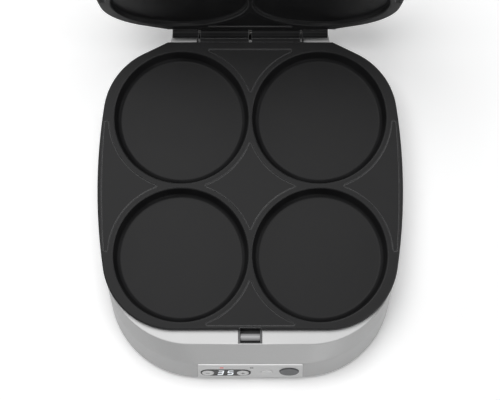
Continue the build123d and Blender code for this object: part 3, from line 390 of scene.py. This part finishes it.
digit_light = lit("digit_light", (0.8, 0.84, 0.88), 0.75)
red_light = lit("red_lamp", (0.72, 0.06, 0.05), 0.5)
clear_lens = grained("unlit_lamp", (0.1, 0.1, 0.1), 0.25, 2000, 0.02)
board = Finish("circuit_board", (0.03, 0.2, 0.09), 0.4, Coat_Weight=0.3)
tracks = board.add(
    "ShaderNodeTexBrick",
    {"offset": 0.35},
    {
        "Vector": place_on(board),
        "Scale": 220,
        "Mortar Size": 0.06,
        "Color1": (0.02, 0.15, 0.07, 1),
        "Color2": (0.03, 0.19, 0.09, 1),
        "Mortar": (0.12, 0.3, 0.12, 1),
    },
)
board.feed(Base_Color=tracks)
sign_ink = grained("sign_ink", (0.05, 0.05, 0.055), 0.5, 2000, 0.02)
print("lamps and boards ready")

# %% [markdown]
# ## Soft edges for hard solids
#
# A solid from an engineering program has edges sharper than any knife. Moulded and cast pieces never
# do: each edge is rounded by a few tenths of a millimetre and draws a thin bright line of light. The
# helper copies a part's mesh, welds its points, joins flat triangles in pairs, bevels every sharp
# edge, and lets large faces rule the shading, so that flats stay flat. The copy then replaces the
# part and rides on the same body. Triangles are only joined in pairs, never melted into one big face:
# a face round a hole would close that hole. Where the solid is rounded already, its facets meet at up
# to 45 degrees, so there only steeper edges count as sharp.


# %% Softening helper
def fresh_mesh(node):
    """The part's mesh with shared points welded and flat triangles joined in pairs."""
    soft = bmesh.new()
    soft.from_mesh(frame["nodes"][node].data)
    bmesh.ops.remove_doubles(soft, verts=soft.verts, dist=2e-6)
    bmesh.ops.dissolve_degenerate(soft, dist=1e-5, edges=soft.edges)
    bmesh.ops.join_triangles(
        soft, faces=soft.faces, angle_face_threshold=radians(0.4), angle_shape_threshold=radians(150)
    )
    return soft


def body_of(node):
    """The moving body that a part belongs to."""
    return next(b for b, members in frame["record"]["behaviour"]["bodies"].items() if node in members)


def place_piece(name, soft, finish, body, slot, *nodes, crease=38):
    """Turns an edited mesh into a smooth-shaded piece with its finish, body and replaced parts."""
    mesh = bpy.data.meshes.new(name)
    for face in soft.faces:
        face.smooth = True
    for edge in soft.edges:
        edge.smooth = len(edge.link_faces) == 2 and edge.calc_face_angle(0) < radians(crease)
    soft.to_mesh(mesh)
    soft.free()
    mesh.materials.append(finish.material)
    piece = bpy.data.objects.new(name, mesh)
    bpy.context.scene.collection.objects.link(piece)
    weights = piece.modifiers.new("flat_faces_rule", "WEIGHTED_NORMAL")
    weights.keep_sharp = True
    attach(piece, body)
    if nodes:
        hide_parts(*nodes)
    return piece


slots = {s["node"]: s["material_slot"] for s in frame["record"]["subparts"]}


def sharp_edges(soft, degrees):
    """Edges where two faces meet at more than this angle."""
    return [e for e in soft.edges if len(e.link_faces) == 2 and e.calc_face_angle(0) > radians(degrees)]


def soften(soft, edges, width, segments=3):
    """Rounds these edges."""
    bmesh.ops.bevel(
        soft,
        geom=edges,
        offset=width,
        segments=segments,
        profile=0.5,
        affect="EDGES",
        clamp_overlap=False,
    )


def softened(node, finish, width, segments=3, degrees=50):
    """Replaces a part by its own copy with rounded edges."""
    soft = fresh_mesh(node)
    soften(soft, sharp_edges(soft, degrees), width, segments)
    piece = place_piece(node + "_soft", soft, finish, body_of(node), slots[node], node, crease=degrees)
    print("softened", node, "->", len(piece.data.polygons), "faces")
    return piece


def keep_part(node, finish):
    """Leaves a part as it is and gives it a finish."""
    part = frame["nodes"][node]
    part.data.materials.clear()
    part.data.materials.append(finish.material)


# %% [markdown]
# ## Bowls turned anew
#
# The exported mesh of a mould has a rounded rim whose small facets don't line up with the flat around
# it, and every highlight would show that as teeth. A bowl is a body of revolution, so it can be turned
# again: the inner faces are deleted, and from each point of the hole that stays in the flat a new row
# of points runs over the rim, down the leaning wall, round the floor's fillet and to the middle. The
# section comes from the real sizes of the mould: rim radius, depth, draft and the two fillets.

# %% Turned bowls
mould_rim_radius = 0.05825
mould_rim_fillet = 0.0012
mould_draft = radians(15)
mould_wall = 0.0025
arc_steps = 6
floor_ring_shares = (0.66, 0.33)
flat_tolerance = 2e-5
rim_tolerance = 3e-5


def bowl_section(depth, floor_fillet):
    """Rim radius at the face, wall top and lean, and (radius, height) pairs down to the flat floor."""
    floor_radius = mould_rim_radius - depth * tan(mould_draft)
    wall_top = mould_rim_radius - mould_rim_fillet / 2
    lean = atan2(wall_top - floor_radius, depth)
    rim_middle = wall_top + mould_rim_fillet * (1 / cos(lean) - tan(lean))
    floor_middle = floor_radius - floor_fillet * (1 / cos(lean) - tan(lean))
    section = []
    for step in range(1, arc_steps + 1):
        turn = pi / 2 + (pi / 2 - lean) * step / arc_steps
        section.append((rim_middle + mould_rim_fillet * cos(turn), mould_rim_fillet * (sin(turn) - 1)))
    for step in range(arc_steps + 1):
        turn = -lean - (pi / 2 - lean) * step / arc_steps
        section.append((floor_middle + floor_fillet * cos(turn), floor_fillet * (sin(turn) + 1) - depth))
    section += [(floor_middle * share, -depth) for share in floor_ring_shares]
    return rim_middle, wall_top, lean, section


def turn_bowl(soft, centre, out, depth, floor_fillet):
    """Deletes the inner faces of one bowl and turns them anew from the hole in the plate's face."""
    rim_middle, wall_top, lean, section = bowl_section(depth, floor_fillet)

    def inside(vert):
        """True on the bowl's inner skin, from its floor up to its hole in the face."""
        height = (vert.co - centre).dot(out)
        radius = (vert.co - centre - out * height).length
        limit = rim_middle + rim_tolerance
        if height < -flat_tolerance:
            limit = min(limit, wall_top + height * tan(lean) + mould_wall / 2)
        return height > -depth - flat_tolerance and radius < limit

    skin = {v for v in soft.verts if inside(v)}
    old = [f for f in soft.faces if all(v in skin for v in f.verts)]
    bmesh.ops.delete(soft, geom=old, context="FACES")
    rim = [v for v in soft.verts if v in skin and any(len(e.link_faces) == 1 for e in v.link_edges)]
    first = out.orthogonal().normalized()
    second = out.cross(first)
    rim.sort(key=lambda v: atan2((v.co - centre).dot(second), (v.co - centre).dot(first)))
    count = len(rim)
    last_row = rim
    for radius, height in section:
        row = []
        for vert in rim:
            flat = vert.co - centre
            flat = (flat - out * flat.dot(out)).normalized()
            row.append(soft.verts.new(centre + flat * radius + out * height))
        for i in range(count):
            j = (i + 1) % count
            soft.faces.new((last_row[i], last_row[j], row[j], row[i]))
        last_row = row
    soft.faces.new(last_row)
    return count


print("bowl turner ready: rim of", mould_rim_radius, "m and", arc_steps, "steps per arc")

# %% [markdown]
# ## Castings with worn pads
#
# Between the moulds each casting has shallow pads. Their walls are less than a millimetre high, and a
# cast edge of that size is more slope than step, so it gets a wide bevel that catches a line of light.
# The pad edges are known by their height: they lie in the plate's face, and the wall below them ends
# at the depth of the pads. The lid's casting is measured along the lid's own upward direction.

# %% Castings and lid
joints = {j["name"]: j for j in frame["record"]["behaviour"]["joints"]}
lid_angle = radians(95)
lid_up = Vector((0, sin(lid_angle), cos(lid_angle)))
lid_back = Vector((0, cos(lid_angle), -sin(lid_angle)))
hinge = Vector(joints["lid_hinge"]["pos_m"])
plate_top = 0.055
parting_gap = 0.0004
mould_half_pitch = (0.05915, 0.0597)
moulds_middle_y = -0.0207
mould_depth = 0.014
mould_floor_fillet = 0.004
recess_depth = 0.004
recess_floor_fillet = 0.002
pad_depth = 0.0009
pad_bevel = 0.0007
cast_bevel = 0.0003
upright = 0.05
lid_face = lid_up.dot(hinge) + plate_top + parting_gap - hinge.z


def pad_rims(soft, out, level):
    """Upper edges of the pads' walls in a plate's face."""
    found = []
    for edge in soft.edges:
        if len(edge.link_faces) != 2:
            continue
        if any(abs(v.co.dot(out) - level) > flat_tolerance for v in edge.verts):
            continue
        wall = min(edge.link_faces, key=lambda face: face.normal.dot(out))
        low = min(v.co.dot(out) for v in wall.verts)
        if abs(low - level + pad_depth) < 5e-5 and abs(wall.normal.dot(out)) < upright:
            found.append(edge)
    return found


def casting(node, finish, out, level, depth, floor_fillet, centres):
    """A coated plate: turned bowls, wide bevels on the pads and narrow ones elsewhere."""
    soft = fresh_mesh(node)
    points = [turn_bowl(soft, centre, out, depth, floor_fillet) for centre in centres]
    bmesh.ops.recalc_face_normals(soft, faces=soft.faces)
    rims = pad_rims(soft, out, level)
    soften(soft, rims, pad_bevel)
    soften(soft, sharp_edges(soft, 50), cast_bevel)
    place_piece(node + "_soft", soft, finish, body_of(node), slots[node], node, crease=50)
    print(node, "rim points:", points, "pad edges:", len(rims))


shut_places = [
    Vector((i * mould_half_pitch[0], moulds_middle_y + j * mould_half_pitch[1], plate_top))
    for i in (-1, 1)
    for j in (-1, 1)
]
open_places = []
for place in shut_places:
    from_hinge = place + Vector((0, 0, parting_gap)) - hinge
    across_part = Vector((from_hinge.x, 0, 0))
    open_places.append(hinge + across_part + lid_back * from_hinge.y + lid_up * from_hinge.z)
up = Vector((0, 0, 1))
casting("lower_plate", coating, up, plate_top, mould_depth, mould_floor_fillet, shut_places)
casting("upper_plate", lid_coating, -lid_up, -lid_face, recess_depth, recess_floor_fillet, open_places)
softened("lid_cover", silver, 0.0004)

# %% [markdown]
# ## The housing's long creases
#
# The housing's ledge, sloping band and steep band meet at shallow angles. Shallow creases are softer
# than other edges, because the paint and the tool round them more, so they get a wider bevel of
# their own. They are found by their height above the table, and by the
# angle between their two faces, which keeps the straight side walls out.


# %% Housing
def crease_edges(soft, level, least_angle):
    """Edges that lie at one level and turn by at least this many degrees, on the outside."""
    found = []
    for edge in soft.edges:
        level_edge = all(abs(v.co.z - level) < 5e-5 for v in edge.verts)
        if level_edge and len(edge.link_faces) == 2 and edge.calc_face_angle(0) > radians(least_angle):
            slants = sorted(face.normal.z for face in edge.link_faces)
            if edge.is_convex and slants[0] > -0.05 and slants[0] < 0.9:
                found.append(edge)
    return found


crease_height = 0.0353
crease_bevel = 0.0013
ledge_height = 0.0487
ledge_bevel = 0.0008
least_crease = 4
shell = fresh_mesh("base_housing")
soften(shell, crease_edges(shell, crease_height, least_crease), crease_bevel)
soften(shell, crease_edges(shell, ledge_height, least_crease), ledge_bevel)
soften(shell, sharp_edges(shell, 60), 0.0003, 2)
shell_slot = slots["base_housing"]
shell_body = body_of("base_housing")
housing = place_piece(
    "base_housing_soft", shell, silver, shell_body, shell_slot, "base_housing", crease=32
)
print("housing faces:", len(housing.data.polygons))

# %% [markdown]
# ## Screws with a cross recess
#
# The screws of the model are plain turned blanks. A driver needs a recess, so the flat top of each
# head is taken off and filled again round the outline of a cross; the cross is then carried down into
# the head and made narrower on its way, as the tip of a driver is. The same few lines serve every
# screw, because they look for the outermost flat faces along the screws' own axis.


# %% Cross recesses
cross_taper = 0.6
cross_width_share = 0.3
cross_depth_share = 0.6
head_reach = 4.4


def cut_cross(soft, flat, axis, arm, width, depth):
    """Fills the ring left by one flat head top and sinks a tapered cross in it."""
    rim = [e for e in {e for f in flat for e in f.edges} if sum(g in flat for g in e.link_faces) == 1]
    points = {v for e in rim for v in e.verts}
    centre = sum((v.co for v in points), Vector()) / len(points)
    first = axis.orthogonal().normalized()
    second = axis.cross(first)
    bmesh.ops.delete(soft, geom=flat, context="FACES")
    corners = []
    for quarter in range(4):
        turn = Matrix.Rotation(-quarter * pi / 2, 2)
        corners += [turn @ Vector(corner) for corner in ((width, arm), (width, width), (arm, width))]
    brim = [soft.verts.new(centre + first * x + second * y) for x, y in corners]
    deep = []
    for x, y in corners:
        deep.append(soft.verts.new(centre + (first * x + second * y) * cross_taper - axis * depth))
    count = len(corners)
    lip = [soft.edges.new((brim[i], brim[(i + 1) % count])) for i in range(count)]
    bmesh.ops.triangle_fill(soft, use_beauty=True, edges=rim + lip, normal=axis)
    for i in range(count):
        j = (i + 1) % count
        soft.faces.new((brim[i], brim[j], deep[j], deep[i]))
    soft.faces.new(deep)


def cross_screws(node, axis, arm):
    """Replaces a set of screws by copies with cross recesses."""
    soft = fresh_mesh(node)
    top = max(v.co.dot(axis) for v in soft.verts)
    facing = [f for f in soft.faces if f.normal.dot(axis) > 0.999]
    flats = [f for f in facing if f.calc_center_median().dot(axis) > top - 1e-5]
    heads = []
    for face in flats:
        middle = face.calc_center_median()
        reach = arm * head_reach
        near = next((h for h in heads if (h[0].calc_center_median() - middle).length < reach), None)
        if near:
            near.append(face)
        else:
            heads.append([face])
    for head in heads:
        cut_cross(soft, head, axis, arm, arm * cross_width_share, arm * cross_depth_share)
    bmesh.ops.recalc_face_normals(soft, faces=soft.faces)
    soften(soft, sharp_edges(soft, 60), 0.00012, 2)
    place_piece(node + "_crossed", soft, steel, body_of(node), slots[node], node)
    print(node, "heads:", len(heads))


panel_in = Vector(joints["start_press"]["axis"]).normalized()
panel_out = -panel_in
panel_up = Vector((0, panel_out.z, -panel_out.y))
down = -up
cross_screws("plate_screws", down, 0.0021)
cross_screws("base_screws", down, 0.0018)
cross_screws("lid_screws", -lid_up, 0.0021)
cross_screws("board_screws", panel_in, 0.0012)
cross_screws("handle_screws", -lid_back, 0.0018)

# %% [markdown]
# ## Small moulded pieces
#
# Feet, buttons, handle and latch only need their edges broken. Under each foot the rubber is hollowed
# by a shallow dish, which keeps it from rocking on a crumb: the underside is inset and pushed up.


# %% Broken edges
dish_margin = 0.0022
dish_depth = 0.0009


def dished_foot(node):
    """A rubber foot with a shallow dish in its underside."""
    soft = fresh_mesh(node)
    low = min(v.co.z for v in soft.verts)
    under = [f for f in soft.faces if f.normal.z < -0.99 and f.calc_center_median().z < low + 1e-5]
    bmesh.ops.inset_region(soft, faces=under, thickness=dish_margin, use_even_offset=True)
    for vert in {v for f in under for v in f.verts}:
        vert.co.z += dish_depth
    soften(soft, sharp_edges(soft, 40), 0.0003, 2)
    place_piece(node + "_dished", soft, rubber, body_of(node), slots[node], node)


for node in ("foot_front_left", "foot_front_right", "foot_rear_left", "foot_rear_right"):
    dished_foot(node)
edge_widths = {
    "base_pan": (pan_plastic, 0.0003),
    "latch_keeper": (latch_plastic, 0.0002),
    "cord_gland": (dark_plastic, 0.0003),
    "control_panel": (light_plastic, 0.0002),
    "display_window": (gloss, 0.0001),
    "minus_button": (button_plastic, 0.0001),
    "plus_button": (button_plastic, 0.0001),
    "function_button": (button_plastic, 0.0001),
    "start_button": (start_plastic, 0.0001),
    "lid_handle": (dark_plastic, 0.0004),
    "latch_lever": (dark_plastic, 0.0004),
    "latch_pin": (steel, 0.0002),
    "hinge_pin": (pin_steel_painted_shade, 0.0004),
    "power_lamp": (red_light, 0.0001),
    "ready_lamp": (clear_lens, 0.0001),
    "temperature_sensor": (sensor_plastic, 0.0003),
}
for node, (finish, width) in edge_widths.items():
    softened(node, finish, width, 2)

# %% [markdown]
# ## Print, sleeve and ribs
#
# What remains are things that are added to a piece rather than cut from it: the printed minus and
# plus on the keys, the bars of the display that stay dark, a pale sleeve on the latch bar that is a
# painted highlight, a dark rubber strip behind the hinge that is painted shade in the gaps between the
# knuckles, and ribs that keep a thumb from slipping. Most are pills, so one helper draws a pill from
# its middle, its two directions and its height.


# %% Signs on the keys
pill_steps = 8
dome_share = 0.12
dome_draw_share = 0.25


def pill(soft, middle, along, across, out, half_long, half_wide, low, high):
    """A flat bar with round ends and a softly domed top, standing on a face."""
    ring = []
    for end in (1, -1):
        for step in range(pill_steps + 1):
            turn = -pi / 2 + pi * step / pill_steps
            x = end * (half_long - half_wide + half_wide * cos(turn))
            y = end * half_wide * sin(turn)
            ring.append((x, y))
    levels = [(low, 0.0), (high - half_wide * dome_share, 0.0), (high, half_wide * dome_draw_share)]
    rows = []
    for level, draw in levels:
        row = []
        for x, y in ring:
            reach = hypot(x, y) or 1
            place = middle + along * (x - x / reach * draw) + across * (y - y / reach * draw)
            row.append(soft.verts.new(place + out * level))
        rows.append(row)
    count = len(ring)
    for lower_row, upper_row in zip(rows, rows[1:]):
        for i in range(count):
            j = (i + 1) % count
            soft.faces.new((lower_row[i], lower_row[j], upper_row[j], upper_row[i]))
    soft.faces.new(rows[-1])
    soft.faces.new(rows[0][::-1])


def outer_face(node, direction):
    """Middle of the outermost flat of a part, and its reach along X and along the third direction."""
    points = [v.co for v in frame["nodes"][node].data.vertices]
    top = max(p.dot(direction) for p in points)
    flat = [p for p in points if p.dot(direction) > top - flat_tolerance]
    third = direction.cross(Vector((1, 0, 0)))
    xs = [p.x for p in flat]
    ys = [p.dot(third) for p in flat]
    middle_x = (min(xs) + max(xs)) / 2
    middle_y = (min(ys) + max(ys)) / 2
    middle = Vector((middle_x, 0, 0)) + third * middle_y + direction * top
    return middle, (max(xs) - min(xs)) / 2, (max(ys) - min(ys)) / 2


def finished_print(name, soft, finish, body, slot):
    """Places a printed or added piece."""
    bmesh.ops.recalc_face_normals(soft, faces=soft.faces)
    place_piece(name, soft, finish, body, slot, crease=60)


across = Vector((1, 0, 0))
ink_height = 0.00005
upper_ink_height = 0.00006
sign_half_long = 0.0019
sign_half_wide = 0.0003
for node in ("minus_button", "plus_button"):
    middle = outer_face(node, panel_out)[0]
    sign = bmesh.new()
    sizes = (sign_half_long, sign_half_wide, -ink_height)
    pill(sign, middle, across, panel_up, panel_out, *sizes, ink_height)
    if node == "plus_button":
        pill(sign, middle, panel_up, -across, panel_out, *sizes, upper_ink_height)
    finished_print(node + "_sign", sign, sign_ink, body_of(node), slots["display_window"])
    print(node, "sign at", tuple(round(v, 4) for v in middle))

# %% [markdown]
# ## Dark bars
#
# Each digit of such a display has seven bars, and the ones that stay dark can still be seen when the
# light falls on them. They lean like the lit ones and follow the same height, width and pitch.

# %% Dark bars of the display
digit_height = 0.0088
digit_width = 0.0042
digit_pitch = 0.0086
slant = radians(8)
bar_half_wide = 0.0005
bar_gap = 0.0002
digit_up = (panel_up * cos(slant) + across * sin(slant)).normalized()
face_middle = outer_face("display_module", panel_out)[0]
dark_bars = bmesh.new()
for digit, bars in ((-1, ((-1, 1), (-1, -1))), (1, ((1, 1), (-1, -1)))):
    for side, half in bars:
        place = face_middle + across * (digit * digit_pitch / 2 + side * digit_width / 2)
        place = place + digit_up * (half * digit_height / 4)
        sizes = (digit_height / 4 - bar_gap, bar_half_wide, -ink_height, ink_height)
        pill(dark_bars, place, digit_up, -across, panel_out, *sizes)
bars_slot = slots["display_module"]
finished_print("display_dark_bars", dark_bars, sign_ink, body_of("display_module"), bars_slot)
print("dark bars drawn")

# %% [markdown]
# ## Sleeve, strip and ribs
#
# A thin pale sleeve round the latch bar is a painted highlight: its light colour stands in for the
# light on the bar's rounded top. It is turned from pairs of distance and radius. A dark rubber strip on
# the hinge shelf is painted shade: it darkens the gaps between the knuckles, where shade falls. The
# ribs on the lever's tab are spread evenly over its depth, which is measured from the lever itself.


# %% Sleeve, strip and ribs
def turned(soft, start, axis, profile, steps=40):
    """A round piece: pairs of distance and radius, turned about an axis."""
    side = axis.orthogonal().normalized()
    other = axis.cross(side)
    rows = []
    for distance, radius in profile:
        row = []
        for step in range(steps):
            turn = 2 * pi * step / steps
            row.append(
                soft.verts.new(start + axis * distance + (side * cos(turn) + other * sin(turn)) * radius)
            )
        rows.append(row)
    for one, two in zip(rows, rows[1:]):
        for i in range(steps):
            j = (i + 1) % steps
            soft.faces.new((one[i], one[j], two[j], two[i]))
    soft.faces.new(rows[0])
    soft.faces.new(rows[-1])


bar_radius = 0.0032
bar_level = 0.0446
bar_ahead = 0.0056
sleeve_half = 0.0084
sleeve_wall = 0.00008
bar_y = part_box("lower_plate")[0][1] - bar_ahead
# The sleeve's pale colour is a painted highlight on the latch bar.
sleeve = bmesh.new()
turned(
    sleeve,
    Vector((-sleeve_half, bar_y, bar_level)),
    across,
    [
        (0, bar_radius - sleeve_wall * 3),
        (sleeve_wall * 3, bar_radius + sleeve_wall),
        (sleeve_half * 2 - sleeve_wall * 3, bar_radius + sleeve_wall),
        (sleeve_half * 2, bar_radius - sleeve_wall * 3),
    ],
)
finished_print("latch_bar_painted_highlight", sleeve, bar_painted_highlight, body_of("latch_keeper"), slots["latch_keeper"])
# The dark rubber strip behind the hinge is painted shade: it fills the gaps between the knuckles with
# dark.
strip_sizes = (0.05, 0.008, -0.0012, 0.0002)
strip_level = 0.0457
strip_behind_hinge = 0.0035
strip = bmesh.new()
strip_middle = Vector((0, hinge.y + strip_behind_hinge, strip_level))
pill(strip, strip_middle, across, Vector((0, 1, 0)), up, *strip_sizes)
finished_print("hinge_gap_painted_shade", strip, rubber, shell_body, slots["foot_front_left"])
tab_middle, tab_half_x, tab_half_y = outer_face("latch_lever", lid_up)
rib_count = 4
rib_pitch = tab_half_y * 2 / (rib_count + 1)
rib_sizes = (tab_half_x * 0.8, rib_pitch * 0.25, -0.0002, 0.0004)
ribs = bmesh.new()
for index in range(rib_count):
    place = tab_middle + lid_back * (index - (rib_count - 1) / 2) * rib_pitch
    pill(ribs, place, across, -lid_back, lid_up, *rib_sizes)
finished_print("latch_lever_ribs", ribs, dark_plastic, body_of("latch_lever"), slots["latch_lever"])
print("sleeve at", round(bar_y, 4), "and", rib_count, "ribs on a tab", round(tab_half_y * 2, 4), "deep")

# %% [markdown]
# ## Parts that stay as they are
#
# Nine parts lie inside or are fine enough as they come, so they keep their own mesh and only get a
# finish.

# %% Remaining parts
plain_finishes = {
    "lower_heating_element": sheath,
    "lower_heat_shield": shield_sheet,
    "display_module": smoked,
    "display_digits": digit_light,
    "control_board": board,
    "power_board": board,
    "upper_heating_element": sheath,
    "upper_heat_shield": shield_sheet,
    "latch_spring": steel,
}
for node, finish in plain_finishes.items():
    keep_part(node, finish)
print(len(plain_finishes), "parts kept with a finish of their own")

# %% [markdown]
# ## Floor, backdrop and light
#
# The picture was taken on a white sweep. The floor is a matt grey for the light it throws, and white
# for the eye: a Light Path node tells the rays that are seen, straight or in a mirror, from those that
# only carry light. So the background turns white without one extra lamp, and the soft shadow stays.

# %% Floor and backdrop
floor_mesh = bpy.data.meshes.new("floor")
reach = 6.0
floor_mesh.from_pydata(
    [(-reach, -reach, 0), (reach, -reach, 0), (reach, reach, 0), (-reach, reach, 0)], [], [(0, 1, 2, 3)]
)
floor = bpy.data.objects.new("floor", floor_mesh)
bpy.context.scene.collection.objects.link(floor)
paper = Finish("white_sweep", (0.8, 0.8, 0.8), 0.9, Specular_IOR_Level=0.0)
seen = 0
for kind_of_ray in ("Is Camera Ray", "Is Glossy Ray", "Is Transmission Ray"):
    seen = seen + paper.add("ShaderNodeLightPath", output=kind_of_ray)
paper.feed(Base_Color=two_colours(paper, seen, (0.6, 0.6, 0.6), (0.93, 0.93, 0.93)))
glow = paper.add("ShaderNodeEmission", inputs={"Color": (1, 1, 1, 1), "Strength": 0.24})
added = paper.add("ShaderNodeAddShader", inputs={0: Wire(paper, paper.shader.outputs[0]), 1: glow})
mixed = paper.add(
    "ShaderNodeMixShader", inputs={0: seen, 1: Wire(paper, paper.shader.outputs[0]), 2: added}
)
paper.plug(paper.tree.nodes["Material Output"].inputs["Surface"], mixed)
floor_mesh.materials.append(paper.material)
print("floor ready")

# %% [markdown]
# ## Lamps
#
# One large lamp hangs high above and a little behind the maker. It gives most of the light and the
# soft shadow round the housing. A weak lamp at each side and a low one in front lift the bands and the
# panel, and a faint pale world fills what is left.

# %% Lamps and surroundings
world = bpy.data.worlds.new("pale_studio")
bpy.context.scene.world = world
world.use_nodes = True
world.node_tree.nodes["Background"].inputs["Color"].default_value = (0.98, 0.99, 1.0, 1)
world.node_tree.nodes["Background"].inputs["Strength"].default_value = 0.15


def soft_lamp(name, place, target, width, height, power):
    """A large rectangular lamp turned to its target."""
    lamp = bpy.data.lights.new(name, "AREA")
    lamp.shape = "RECTANGLE"
    lamp.size = width
    lamp.size_y = height
    lamp.energy = power
    holder = bpy.data.objects.new(name, lamp)
    holder.location = place
    holder.rotation_euler = (Vector(target) - Vector(place)).to_track_quat("-Z", "Y").to_euler()
    bpy.context.scene.collection.objects.link(holder)
    print("lamp", name, power, "W")


maker_middle = (0, 0, 0.05)
soft_lamp("overhead", (-0.3, 0.5, 2.4), maker_middle, 1.4, 1.4, 42)
soft_lamp("left_strip", (-1.9, 0.0, 0.8), maker_middle, 0.4, 1.4, 5)
soft_lamp("right_strip", (1.9, 0.0, 0.8), maker_middle, 0.4, 1.4, 6)
soft_lamp("front_low", (0.6, -2.2, 0.5), maker_middle, 1.2, 0.5, 6)
